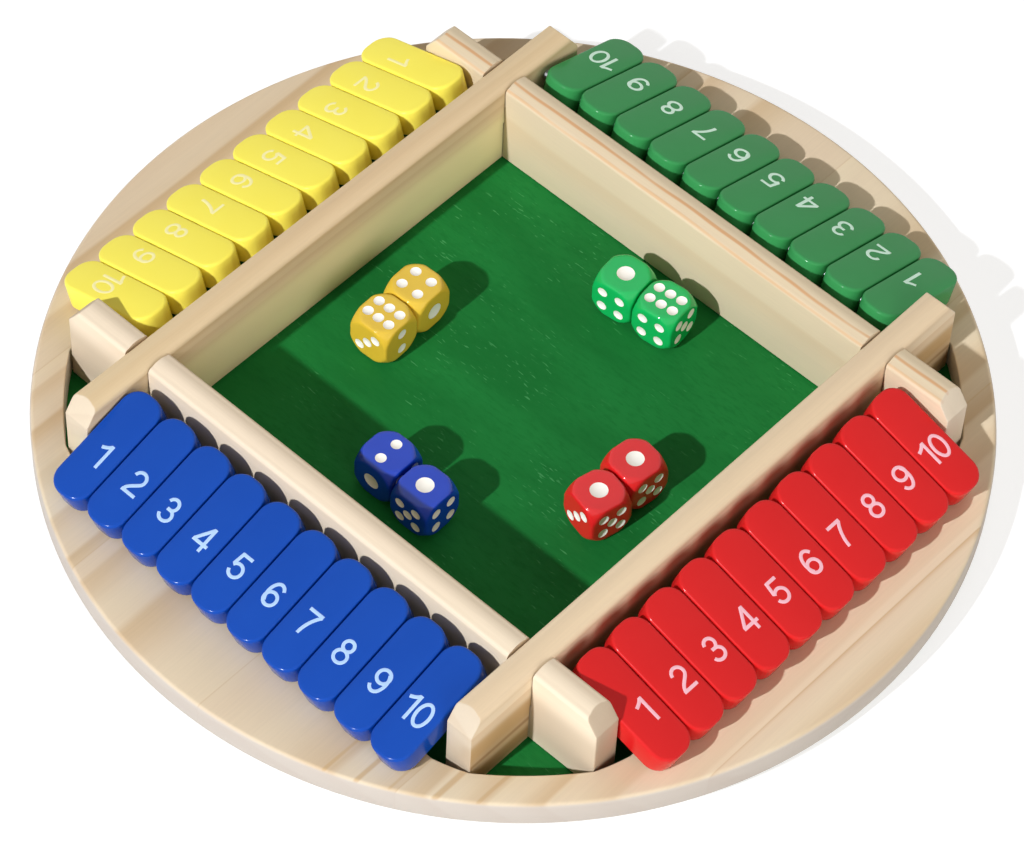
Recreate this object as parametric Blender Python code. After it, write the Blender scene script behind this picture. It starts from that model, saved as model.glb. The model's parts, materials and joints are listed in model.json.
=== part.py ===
"""A round wooden shut the box game for four players.

A wooden ring lies on a thin round panel. Four rails stand on the panel and
enclose a square dice tray. They cross near their ends with half laps: the two
long rails run over the two cross rails. Outside each side of the tray a row
of ten numbered tiles turns on a thin rod, whose ends sit in blind sockets in
the rails' free ends. Eight dice lie in the tray.

The origin is on the ring's axis at the surface the game stands on, with +Z up
and +X along the two long rails. All lengths are in metres.
"""

import math

import bmesh
import bpy
from mathutils import Matrix, Vector

# Clearances between neighbouring pieces
SEAT_GAP = 0.0003
BORE_CLEARANCE = 0.0003
RAIL_END_GAP = 0.0005
TILE_SWING_CLEARANCE = 0.0021
ROW_SIDE_CLEARANCE = 0.001175

# Numbered tiles
TILES_PER_ROW = 10
TILE_WIDTH = 0.01445
TILE_LENGTH = 0.0405
TILE_THICKNESS = 0.0096
TILE_GAP = 0.00035
TILE_EDGE_CHAMFER = 0.001
TILE_CORNER_SHARE = 0.415
ROW_SHIFT_SHARE = 0.6

# Rods that the tiles turn on
ROD_DIAMETER = 0.003
ROD_FROM_TILE_END = 0.0065
ROD_RISE_OVER_RING = 0.0149
ROD_SOCKET_DEPTH = 0.006

# Rails, one section for all
RAIL_THICKNESS = 0.0096
RAIL_RISE_OVER_ROD = 0.0084
LAP_HEIGHT_SHARE = 0.5
END_CHAMFER_RUN = 0.0049
END_CHAMFER_RISE = 0.0069
RAIL_EDGE_ROUND = 0.0018
RAIL_CROWN = 0.0007

# Round panel under the ring
FLOOR_THICKNESS = 0.003
FLOOR_SETBACK = 0.004

# Ring that the tiles rest on
RING_THICKNESS = 0.0103
RING_TOP_ROUND = 0.003
RING_BOTTOM_CHAMFER = 0.0015
RING_RIM_MARGIN = 0.0017
RING_RIM_WIDTH = 0.0106
RING_HOLE_MARGIN = 0.0043

# Dice
DIE_SIZE = 0.0155
PIP_DEPTH = 0.0005
ACE_DEPTH = 0.0007

# Rounding of the die's edges, radius of the ball that its corners are drawn in
# to, and radii of its pips, as shares of its size
DIE_ROUND_SHARE = 0.055
DIE_BALL_SHARE = 0.705
PIP_RADIUS_SHARE = 0.116
ACE_RADIUS_SHARE = 0.187

# How far a pip's cutter stands over the face, as a share of its depth
PIP_RISE_SHARE = 0.15

# Places of the pips on a face, as shares of the die's size
PIP_SQUARE_SHARE = 0.21
PIP_PAIR_SHARE = 0.227
PIP_SIX_LONG_SHARE = 0.279
PIP_SIX_WIDE_SHARE = 0.167

# Middle of each pair of dice, as shares of the tray's half width
DICE_MIDDLE_SHARES = {
    "yellow": (-0.004, 0.655),
    "green": (0.765, -0.039),
    "blue": (-0.625, 0.021),
    "red": (-0.05, -0.612),
}

# Distance between the two dice of a pair, as shares of the die's size
DICE_SPACING_SHARES = {
    "yellow": 1.03,
    "green": 1.034,
    "blue": 1.088,
    "red": 1.07,
}

# Direction from each pair's first die to its second, in degrees
DICE_HEADING_ANGLES = {
    "yellow": 3.8,
    "green": 93.8,
    "blue": 84.9,
    "red": 0.2,
}

# Each die's own turn, in degrees
DICE_TURN_ANGLES = {
    "yellow": (2.1, 2.1),
    "green": (6.4, 6.2),
    "blue": (1.2, 1.2),
    "red": (-12.9, -7.5),
}

# The number on top of each die, then the one towards -X
DICE_NUMBERS = {
    "yellow": (("six", "three"), ("four", "two")),
    "green": (("six", "four"), ("one", "four")),
    "blue": (("one", "five"), ("two", "one")),
    "red": (("one", "three"), ("one", "three")),
}

# Direction in which each row's tiles point outwards, in degrees from +X
ROW_ANGLES = {
    "green": 0.0,
    "yellow": 90.0,
    "blue": 180.0,
    "red": 270.0,
}

# Facets of the round forms
RING_FACETS = 72
RING_ROUND_STEPS = 3
FLOOR_FACETS = 48
RAIL_ROUND_STEPS = 3
RAIL_CROWN_STEPS = 4
TILE_CORNER_STEPS = 3
BORE_FACETS = 8
ROD_FACETS = 12
DIE_ROUND_STEPS = 2
DIE_BALL_SUBDIVISIONS = 3
PIP_FACETS = 6

# Roundness of a die's edges, where a half is a round arc
DIE_PROFILE_SHARE = 0.5

# Distance that a cutter runs past the face it cuts
CUT_OVERRUN = 0.001

# Angle above which an edge stays sharp, in degrees
SHARP_ANGLE = 35.0

# Finishes: colour in 8-bit sRGB, roughness, metallic
FINISHES = {
    "pine": ((230, 214, 185), 0.5, 0.0),
    "floor_green": ((28, 115, 55), 0.6, 0.0),
    "rod_steel": ((170, 170, 172), 0.35, 1.0),
    "tile_yellow": ((247, 230, 75), 0.3, 0.0),
    "tile_green": ((60, 140, 85), 0.3, 0.0),
    "tile_blue": ((32, 80, 190), 0.3, 0.0),
    "tile_red": ((218, 42, 42), 0.3, 0.0),
    "die_yellow": ((225, 165, 50), 0.2, 0.0),
    "die_green": ((35, 170, 80), 0.2, 0.0),
    "die_blue": ((30, 60, 170), 0.2, 0.0),
    "die_red": ((210, 45, 45), 0.2, 0.0),
}

# Rounding of a tile's corners, seen from above
TILE_CORNER_RADIUS = TILE_CORNER_SHARE * TILE_WIDTH

# Half the clear width of the tray, from the row of tiles it is as wide as
TILE_PITCH = TILE_WIDTH + TILE_GAP
ROW_WIDTH = TILES_PER_ROW * TILE_PITCH - TILE_GAP
TRAY_HALF = ROW_WIDTH / 2 + ROW_SIDE_CLEARANCE
ROW_SHIFT = ROW_SHIFT_SHARE * ROW_SIDE_CLEARANCE

# Outer face of the rails, and the rods beyond it
RAIL_FACE = TRAY_HALF + RAIL_THICKNESS
TILE_HALF_THICKNESS = TILE_THICKNESS / 2
TILE_SWING_RADIUS = math.hypot(ROD_FROM_TILE_END, TILE_HALF_THICKNESS)
ROD_OFFSET = RAIL_FACE + TILE_SWING_RADIUS + TILE_SWING_CLEARANCE

# Heights above the surface the game stands on
BASE_HEIGHT = FLOOR_THICKNESS + SEAT_GAP
RING_TOP = BASE_HEIGHT + RING_THICKNESS
ROD_HEIGHT = RING_TOP + ROD_RISE_OVER_RING
RAIL_TOP = ROD_HEIGHT + RAIL_RISE_OVER_ROD

# Slope at which a tile's lower outer edge comes to rest on the ring
TILE_REACH = TILE_LENGTH - ROD_FROM_TILE_END
TILE_REST_REACH = TILE_REACH - TILE_EDGE_CHAMFER
TILE_REST_DROP = ROD_RISE_OVER_RING - SEAT_GAP
TILE_SLOPE = (
    math.asin(TILE_REST_DROP / math.hypot(TILE_REST_REACH, TILE_HALF_THICKNESS))
    - math.atan2(TILE_HALF_THICKNESS, TILE_REST_REACH)
)

# Ring round the outer corners of the tile rows
TILE_END = (
    ROD_OFFSET
    + TILE_REACH * math.cos(TILE_SLOPE)
    + TILE_HALF_THICKNESS * math.sin(TILE_SLOPE)
)
RING_RADIUS = math.hypot(TILE_END, ROW_WIDTH / 2) + RING_RIM_MARGIN
RING_HOLE_RADIUS = RING_RADIUS - RING_RIM_WIDTH

# Ends of the rails, where their outer corners meet the ring
RAIL_CORNER_RADIUS = RING_HOLE_RADIUS - RAIL_END_GAP
RAIL_END = math.sqrt(RAIL_CORNER_RADIUS**2 - RAIL_FACE**2)
RING_HOLE_HALF = RAIL_END + RING_HOLE_MARGIN

# Middle line and height of a rail, and the height of its half laps
RAIL_MIDDLE = TRAY_HALF + RAIL_THICKNESS / 2
RAIL_HEIGHT = RAIL_TOP - BASE_HEIGHT
LAP_HEIGHT = LAP_HEIGHT_SHARE * RAIL_HEIGHT

# Rods and the round room that they need
ROD_RADIUS = ROD_DIAMETER / 2
SOCKET_HALF_SPAN = TRAY_HALF + ROD_SOCKET_DEPTH
ROD_HALF_LENGTH = SOCKET_HALF_SPAN - SEAT_GAP


def clear_scene():
    """Remove every object that the file opened with."""
    for item in list(bpy.data.objects):
        bpy.data.objects.remove(item, do_unlink=True)


def linear_colour(colour):
    """Turn an 8-bit sRGB colour into the linear one that materials take."""
    channels = []
    for value in colour:
        share = value / 255
        if share > 0.04045:
            share = ((share + 0.055) / 1.055) ** 2.4
        else:
            share = share / 12.92
        channels.append(share)
    return (*channels, 1.0)


def finish_material(name):
    """Return the named finish as a Principled material, made on first use."""
    material = bpy.data.materials.get(name)
    if material is None:
        colour, roughness, metallic = FINISHES[name]
        material = bpy.data.materials.new(name)
        material.use_nodes = True
        shader = material.node_tree.nodes["Principled BSDF"]
        shader.inputs["Base Color"].default_value = linear_colour(colour)
        shader.inputs["Roughness"].default_value = roughness
        shader.inputs["Metallic"].default_value = metallic
        material.diffuse_color = linear_colour(colour)
    return material


def mesh_from(bm, name):
    """Write a bmesh into a new mesh with its faces pointing out."""
    bmesh.ops.recalc_face_normals(bm, faces=bm.faces)
    mesh = bpy.data.meshes.new(name)
    bm.to_mesh(mesh)
    bm.free()
    return mesh


def soften(mesh):
    """Shade a mesh smooth but for its sharp edges."""
    mesh.shade_smooth()
    mesh.set_sharp_from_angle(angle=math.radians(SHARP_ANGLE))


def add_object(name, mesh, matrix, finish=None):
    """Add a mesh to the scene as a named object in a finish."""
    item = bpy.data.objects.new(name, mesh)
    bpy.context.collection.objects.link(item)
    item.matrix_world = matrix
    if finish and not mesh.materials:
        mesh.materials.append(finish_material(finish))
    return item


def add_cutter(name, mesh, matrix):
    """Add a mesh that only cuts others."""
    cutter = add_object(name, mesh, matrix)
    cutter.hide_render = True
    cutter.display_type = "WIRE"
    return cutter


def cut_away(item, cutter, operation="DIFFERENCE"):
    """Cut one object's shape out of another, or keep only what it covers."""
    modifier = item.modifiers.new(cutter.name, "BOOLEAN")
    modifier.operation = operation
    modifier.solver = "EXACT"
    modifier.object = cutter


def cut_mesh(mesh, cutter_mesh, operation="DIFFERENCE"):
    """Return a mesh cut with another, for many objects to share."""
    item = add_object("blank", mesh, Matrix.Identity(4))
    cutter = add_cutter("blank_cutter", cutter_mesh, Matrix.Identity(4))
    cut_away(item, cutter, operation)
    graph = bpy.context.evaluated_depsgraph_get()
    result = bpy.data.meshes.new_from_object(item.evaluated_get(graph))
    bpy.data.objects.remove(item)
    bpy.data.objects.remove(cutter)
    soften(result)
    return result


def add_loop(bm, points):
    """Add a closed loop of vertices at the given points."""
    return [bm.verts.new(point) for point in points]


def join_loops(bm, loops):
    """Bridge each loop to the next with a band of quads."""
    for lower, upper in zip(loops, loops[1:]):
        for index, vertex in enumerate(lower):
            after = (index + 1) % len(lower)
            bm.faces.new((vertex, lower[after], upper[after], upper[index]))


def add_stack(bm, levels):
    """Add a closed body from outlines stacked from bottom to top."""
    loops = [add_loop(bm, points) for points in levels]
    join_loops(bm, loops)
    bm.faces.new(reversed(loops[0]))
    bm.faces.new(loops[-1])


def circle_points(radius, height, facets):
    """Return the corners of a regular outline about the Z axis."""
    points = []
    for index in range(facets):
        angle = math.tau * index / facets
        points.append((radius * math.cos(angle), radius * math.sin(angle), height))
    return points


def row_matrix(colour):
    """Return the frame of a row: +X outwards, +Y along the row, +Z up."""
    return Matrix.Rotation(math.radians(ROW_ANGLES[colour]), 4, "Z")


def add_floor_panel():
    """Add the thin round panel that the ring and the rails stand on."""
    radius = RING_RADIUS - FLOOR_SETBACK
    bm = bmesh.new()
    levels = [circle_points(radius, height, FLOOR_FACETS) for height in (0.0, FLOOR_THICKNESS)]
    add_stack(bm, levels)
    mesh = mesh_from(bm, "floor_panel")
    add_object("floor_panel", mesh, Matrix.Identity(4), "floor_green")


def ring_outer_sections():
    """Return radius and height down the ring's outer side, from the top."""
    sections = []
    for step in range(RING_ROUND_STEPS + 1):
        angle = math.pi / 2 * (1 - step / RING_ROUND_STEPS)
        radius = RING_RADIUS - RING_TOP_ROUND * (1 - math.cos(angle))
        height = RING_TOP - RING_TOP_ROUND * (1 - math.sin(angle))
        sections.append((radius, height))
    sections.append((RING_RADIUS, BASE_HEIGHT + RING_BOTTOM_CHAMFER))
    sections.append((RING_RADIUS - RING_BOTTOM_CHAMFER, BASE_HEIGHT))
    return sections


def ring_hole_points(height):
    """Return the ring's hole: a square whose corners follow a circle."""
    points = []
    for x, y, _ in circle_points(1, 0, RING_FACETS):
        reach = min(RING_HOLE_RADIUS, RING_HOLE_HALF / max(abs(x), abs(y)))
        points.append((reach * x, reach * y, height))
    return points


def add_ring():
    """Add the wooden ring, rounded along its upper outer edge."""
    bm = bmesh.new()
    loops = [add_loop(bm, ring_hole_points(RING_TOP))]
    for radius, height in ring_outer_sections():
        loops.append(add_loop(bm, circle_points(radius, height, RING_FACETS)))
    loops.append(add_loop(bm, ring_hole_points(BASE_HEIGHT)))
    loops.append(loops[0])
    join_loops(bm, loops)
    mesh = mesh_from(bm, "ring")
    soften(mesh)
    add_object("ring", mesh, Matrix.Identity(4), "pine")


def rail_section(x):
    """Return a rail's section at x: straight sides, eased edges and a slightly crowned top."""
    half = RAIL_THICKNESS / 2
    flat = half - RAIL_EDGE_ROUND
    shoulder = RAIL_HEIGHT - RAIL_CROWN - RAIL_EDGE_ROUND
    upper = []
    for step in range(RAIL_ROUND_STEPS):
        angle = math.pi / 2 * step / RAIL_ROUND_STEPS
        across = flat + RAIL_EDGE_ROUND * math.cos(angle)
        upper.append((across, shoulder + RAIL_EDGE_ROUND * math.sin(angle)))
    for step in range(RAIL_CROWN_STEPS):
        share = 1 - step / RAIL_CROWN_STEPS
        upper.append((flat * share, RAIL_HEIGHT - RAIL_CROWN * share**2))
    outline = [(half, 0.0)] + upper + [(0.0, RAIL_HEIGHT)]
    outline += [(-across, height) for across, height in reversed(upper)] + [(-half, 0.0)]
    return [(x, across, height) for across, height in outline]


def chamfer_end(bm, side):
    """Slice the upper corner off a rail's end on the given side."""
    place = Vector((side * RAIL_END, 0.0, RAIL_HEIGHT - END_CHAMFER_RISE))
    cut = bmesh.ops.bisect_plane(
        bm,
        geom=bm.verts[:] + bm.edges[:] + bm.faces[:],
        plane_co=place,
        plane_no=Vector((side * END_CHAMFER_RISE, 0.0, END_CHAMFER_RUN)),
        clear_outer=True,
    )
    edges = [part for part in cut["geom_cut"] if isinstance(part, bmesh.types.BMEdge)]
    bmesh.ops.contextual_create(bm, geom=edges)


def add_box(bm, low, high):
    """Add a closed box between two corners."""
    levels = []
    for z in (low[2], high[2]):
        corners = ((low[0], low[1]), (high[0], low[1]), (high[0], high[1]), (low[0], high[1]))
        levels.append([(x, y, z) for x, y in corners])
    add_stack(bm, levels)


def lap_mesh(name, low, high):
    """Build the cutter of a rail's two laps, between two heights."""
    bm = bmesh.new()
    half_width = RAIL_THICKNESS / 2 + SEAT_GAP
    half_depth = RAIL_THICKNESS / 2 + CUT_OVERRUN
    for side in (-1, 1):
        middle = side * RAIL_MIDDLE
        near = (middle - half_width, -half_depth, low)
        far = (middle + half_width, half_depth, high)
        add_box(bm, near, far)
    return mesh_from(bm, name)


def rail_mesh(name, lap_low, lap_high):
    """Build a rail along X with both ends chamfered and its laps cut."""
    bm = bmesh.new()
    add_stack(bm, [rail_section(-RAIL_END), rail_section(RAIL_END)])
    for side in (-1, 1):
        chamfer_end(bm, side)
    mesh = cut_mesh(mesh_from(bm, "rail_blank"), lap_mesh("rail_laps", lap_low, lap_high))
    mesh.name = name
    return mesh


def rail_place(turn):
    """Return a rail's frame: on the panel, turned to one side of the tray."""
    rotation = Matrix.Rotation(math.radians(turn), 4, "Z")
    return rotation @ Matrix.Translation((0.0, RAIL_MIDDLE, BASE_HEIGHT))


def add_rails(cutters):
    """Add the long rails, lapped from below, over the cross rails."""
    long_mesh = rail_mesh("long_rail", -CUT_OVERRUN, LAP_HEIGHT + SEAT_GAP / 2)
    top = RAIL_HEIGHT + CUT_OVERRUN
    cross_mesh = rail_mesh("cross_rail", LAP_HEIGHT - SEAT_GAP / 2, top)
    rails = (
        ("long_rail_back", long_mesh, 0, ("blue", "green")),
        ("cross_rail_left", cross_mesh, 90, ("yellow", "red")),
        ("long_rail_front", long_mesh, 180, ("blue", "green")),
        ("cross_rail_right", cross_mesh, 270, ("yellow", "red")),
    )
    for name, mesh, turn, colours in rails:
        rail = add_object(name, mesh, rail_place(turn), "pine")
        for colour in colours:
            cut_away(rail, cutters[colour])


def rod_points(radius, facets):
    """Return a rod's outline on the XZ plane, about the Y axis."""
    return [(x, z) for x, z, _ in circle_points(radius, 0.0, facets)]


def add_rod_body(bm, radius, half_length, facets, matrix):
    """Add a closed rod along Y to a bmesh, moved by a matrix."""
    levels = []
    for y in (half_length, -half_length):
        outline = rod_points(radius, facets)
        levels.append([matrix @ Vector((x, y, z)) for x, z in outline])
    add_stack(bm, levels)


def rod_place(colour):
    """Return the frame of a row's rod, along the frame's Y axis."""
    return row_matrix(colour) @ Matrix.Translation((ROD_OFFSET, 0.0, ROD_HEIGHT))


def clear_radius(facets):
    """Return the corner radius of a bore that clears the rod all round."""
    return (ROD_RADIUS + BORE_CLEARANCE) / math.cos(math.pi / facets)


def socket_cutters():
    """Make a cutter for each row that bores both of its rod's sockets."""
    cutters = {}
    for colour in ROW_ANGLES:
        bm = bmesh.new()
        radius = clear_radius(ROD_FACETS)
        add_rod_body(bm, radius, SOCKET_HALF_SPAN, ROD_FACETS, Matrix.Identity(4))
        name = f"rod_sockets_{colour}"
        cutters[colour] = add_cutter(name, mesh_from(bm, name), rod_place(colour))
    return cutters


def add_rods():
    """Add the four rods, each along its row's Y axis."""
    bm = bmesh.new()
    add_rod_body(bm, ROD_RADIUS, ROD_HALF_LENGTH, ROD_FACETS, Matrix.Identity(4))
    mesh = mesh_from(bm, "rod")
    soften(mesh)
    for colour in ROW_ANGLES:
        add_object(f"rod_{colour}", mesh, rod_place(colour), "rod_steel")


def tile_outline(inset, height):
    """Return the tile's rounded outline, drawn in by an inset."""
    radius = TILE_CORNER_RADIUS - inset
    corners = (
        (TILE_REACH - TILE_CORNER_RADIUS, 1, 0),
        (TILE_CORNER_RADIUS - ROD_FROM_TILE_END, 1, 1),
        (TILE_CORNER_RADIUS - ROD_FROM_TILE_END, -1, 2),
        (TILE_REACH - TILE_CORNER_RADIUS, -1, 3),
    )
    points = []
    for x, side, quarter in corners:
        y = side * (TILE_WIDTH / 2 - TILE_CORNER_RADIUS)
        for step in range(TILE_CORNER_STEPS + 1):
            angle = math.pi / 2 * (quarter + step / TILE_CORNER_STEPS)
            point = (x + radius * math.cos(angle), y + radius * math.sin(angle), height)
            points.append(point)
    return points


def tile_mesh(colour):
    """Build a tile about its rod's axis, its length along X."""
    bm = bmesh.new()
    side_height = TILE_HALF_THICKNESS - TILE_EDGE_CHAMFER
    levels = (
        tile_outline(TILE_EDGE_CHAMFER, -TILE_HALF_THICKNESS),
        tile_outline(0.0, -side_height),
        tile_outline(0.0, side_height),
        tile_outline(TILE_EDGE_CHAMFER, TILE_HALF_THICKNESS),
    )
    add_stack(bm, levels)
    blank = mesh_from(bm, "tile_blank")
    bm = bmesh.new()
    half_length = TILE_WIDTH / 2 + CUT_OVERRUN
    radius = clear_radius(BORE_FACETS)
    turn = Matrix.Rotation(math.pi / BORE_FACETS, 4, "Y")
    add_rod_body(bm, radius, half_length, BORE_FACETS, turn)
    mesh = cut_mesh(blank, mesh_from(bm, "tile_bore"))
    mesh.name = f"tile_{colour}"
    return mesh


def add_tiles():
    """Add the forty tiles, each with its origin on its rod's axis."""
    for colour in ROW_ANGLES:
        mesh = tile_mesh(colour)
        slope = Matrix.Rotation(TILE_SLOPE, 4, "Y")
        for number in range(1, TILES_PER_ROW + 1):
            along = (number - (TILES_PER_ROW + 1) / 2) * TILE_PITCH - ROW_SHIFT
            place = rod_place(colour) @ Matrix.Translation((0.0, along, 0.0))
            name = f"tile_{colour}_{number:02d}"
            add_object(name, mesh, place @ slope, f"tile_{colour}")


def face_pips():
    """Return each number's pip places on its face."""
    square = PIP_SQUARE_SHARE * DIE_SIZE
    pair = PIP_PAIR_SHARE * DIE_SIZE
    long = PIP_SIX_LONG_SHARE * DIE_SIZE
    wide = PIP_SIX_WIDE_SHARE * DIE_SIZE
    middle = (0.0, 0.0)
    diagonal = [(square, -square), (-square, square)]
    corners = diagonal + [(square, square), (-square, -square)]
    return {
        "one": [middle],
        "two": [(0.0, pair), (0.0, -pair)],
        "three": [middle] + diagonal,
        "four": corners,
        "five": [middle] + corners,
        "six": [(step * long, side * wide) for step in (-1, 0, 1) for side in (-1, 1)],
    }


def die_directions():
    """Return where each number points on a die with its one on top."""
    up, right, back = Vector((0, 0, 1)), Vector((1, 0, 0)), Vector((0, 1, 0))
    return {
        "one": up,
        "two": right,
        "three": back,
        "four": -back,
        "five": -right,
        "six": -up,
    }


def face_frame(number):
    """Return a face's frame: its Z axis points out, its others lie in it."""
    directions = die_directions()
    out = directions[number]
    first = directions["three"] if number in ("two", "five") else directions["two"]
    second = directions["three"] if number in ("one", "six") else directions["one"]
    return Matrix((first, second, out)).transposed().to_4x4()


def add_pip_body(bm, frame, place, radius, depth):
    """Add a pointed cutter whose tip lies under a face of the die."""
    face = DIE_SIZE / 2
    rise = PIP_RISE_SHARE * depth
    grown = radius * (depth + rise) / depth
    points = circle_points(grown, face + rise, PIP_FACETS)
    shift = Vector((place[0], place[1], 0.0))
    loop = add_loop(bm, [frame @ (Vector(point) + shift) for point in points])
    tip = bm.verts.new(frame @ (Vector((0.0, 0.0, face - depth)) + shift))
    bm.faces.new(loop)
    for index, vertex in enumerate(loop):
        bm.faces.new((loop[index - 1], vertex, tip))


def die_blank():
    """Build a die without pips: a cube whose corners follow a ball."""
    bm = bmesh.new()
    bmesh.ops.create_cube(bm, size=DIE_SIZE)
    bmesh.ops.bevel(
        bm,
        geom=bm.edges[:],
        offset=DIE_ROUND_SHARE * DIE_SIZE,
        segments=DIE_ROUND_STEPS,
        profile=DIE_PROFILE_SHARE,
        affect="EDGES",
    )
    cube = mesh_from(bm, "die_cube")
    bm = bmesh.new()
    bmesh.ops.create_icosphere(
        bm, subdivisions=DIE_BALL_SUBDIVISIONS, radius=DIE_BALL_SHARE * DIE_SIZE
    )
    return cut_mesh(cube, mesh_from(bm, "die_ball"), "INTERSECT")


def die_mesh(colour):
    """Build a die about its middle, its one on +Z and its two on +X."""
    bm = bmesh.new()
    for number, places in face_pips().items():
        radius, depth = PIP_RADIUS_SHARE * DIE_SIZE, PIP_DEPTH
        if number == "one":
            radius, depth = ACE_RADIUS_SHARE * DIE_SIZE, ACE_DEPTH
        for place in places:
            add_pip_body(bm, face_frame(number), place, radius, depth)
    mesh = cut_mesh(die_blank(), mesh_from(bm, "die_pips"))
    mesh.name = f"die_{colour}"
    return mesh


def die_rotation(top, left):
    """Return the turn that brings one number up and another towards -X."""
    directions = die_directions()
    up, side = directions[top], directions[left]
    return Matrix((-side, side.cross(up), up)).to_4x4()


def add_dice():
    """Add each colour's two dice, lying on the panel inside the rails."""
    height = FLOOR_THICKNESS + SEAT_GAP + DIE_SIZE / 2
    for colour, numbers in DICE_NUMBERS.items():
        mesh = die_mesh(colour)
        middle_x, middle_y = DICE_MIDDLE_SHARES[colour]
        heading = math.radians(DICE_HEADING_ANGLES[colour])
        half_spacing = DICE_SPACING_SHARES[colour] * DIE_SIZE / 2
        for index, (top, left) in enumerate(numbers):
            side = 2 * index - 1
            place = Vector(
                (
                    middle_x * TRAY_HALF + side * half_spacing * math.cos(heading),
                    middle_y * TRAY_HALF + side * half_spacing * math.sin(heading),
                    height,
                )
            )
            yaw = Matrix.Rotation(math.radians(DICE_TURN_ANGLES[colour][index]), 4, "Z")
            matrix = Matrix.Translation(place) @ yaw @ die_rotation(top, left)
            add_object(f"die_{colour}_{index + 1}", mesh, matrix, f"die_{colour}")


def build_game():
    """Build the whole game."""
    clear_scene()
    add_floor_panel()
    add_ring()
    add_rails(socket_cutters())
    add_rods()
    add_tiles()
    add_dice()


build_game()
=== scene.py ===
"""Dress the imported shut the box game: pine board, painted tiles and pipped dice."""

import json
import logging
import math
from dataclasses import dataclass, field
from enum import Enum
from typing import Callable, Sequence

import bmesh
import bpy
from mathutils import Matrix, Vector

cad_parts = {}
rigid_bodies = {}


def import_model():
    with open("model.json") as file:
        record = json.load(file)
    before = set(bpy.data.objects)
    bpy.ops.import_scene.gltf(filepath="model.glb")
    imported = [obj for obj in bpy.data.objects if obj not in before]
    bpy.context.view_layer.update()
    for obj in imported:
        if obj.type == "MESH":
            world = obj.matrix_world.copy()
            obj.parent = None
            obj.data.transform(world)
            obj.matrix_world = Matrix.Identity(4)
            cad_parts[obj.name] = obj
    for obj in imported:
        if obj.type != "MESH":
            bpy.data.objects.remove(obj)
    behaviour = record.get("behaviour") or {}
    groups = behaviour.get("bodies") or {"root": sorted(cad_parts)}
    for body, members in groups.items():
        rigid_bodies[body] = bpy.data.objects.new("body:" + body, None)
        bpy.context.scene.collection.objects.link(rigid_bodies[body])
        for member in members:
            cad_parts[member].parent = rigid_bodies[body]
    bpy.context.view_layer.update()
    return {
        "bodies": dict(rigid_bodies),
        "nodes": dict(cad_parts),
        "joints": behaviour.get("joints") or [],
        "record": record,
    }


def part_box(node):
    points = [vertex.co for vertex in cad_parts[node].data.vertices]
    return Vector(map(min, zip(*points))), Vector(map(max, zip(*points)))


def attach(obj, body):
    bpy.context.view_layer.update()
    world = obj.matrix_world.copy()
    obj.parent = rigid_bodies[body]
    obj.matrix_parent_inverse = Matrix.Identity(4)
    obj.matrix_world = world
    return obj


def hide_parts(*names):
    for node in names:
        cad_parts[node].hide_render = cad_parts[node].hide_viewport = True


LOG = logging.getLogger("shut_the_box")
MM = 0.001
PHOTO_WIDTH = 1024
Colour = tuple[float, float, float]
Point2 = tuple[float, float]
Point3 = tuple[float, float, float]
Piece = bpy.types.Object
Material = bpy.types.Material
Node = bpy.types.Node
Socket = bpy.types.NodeSocket
Tree = bpy.types.NodeTree


class Row(Enum):
    """The four players' rows, each with its outward direction in degrees from +X."""

    GREEN = "green"
    YELLOW = "yellow"
    BLUE = "blue"
    RED = "red"

    @property
    def turn(self) -> float:
        """Return the direction that the row's tiles point in."""
        return {"green": 0.0, "yellow": 90.0, "blue": 180.0, "red": 270.0}[self.value]


class DieFace(Enum):
    """The six numbers of a die."""

    ONE = 1
    TWO = 2
    THREE = 3
    FOUR = 4
    FIVE = 5
    SIX = 6


class Lap(Enum):
    """The side from which a rail is lapped."""

    FROM_BELOW = "below"
    FROM_ABOVE = "above"


def linear(colour: Colour) -> tuple[float, float, float, float]:
    """Turn a screen colour of 0 to 255 into Blender's linear one.

    Args:
        colour: Red, green and blue from 0 to 255.

    Returns:
        The linear colour with an alpha of one.
    """
    parts = []
    for part in colour:
        share = part / 255
        parts.append(share / 12.92 if share <= 0.04045 else ((share + 0.055) / 1.055) ** 2.4)
    return (parts[0], parts[1], parts[2], 1.0)


# Bench: the few modelling steps that every piece shares


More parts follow.
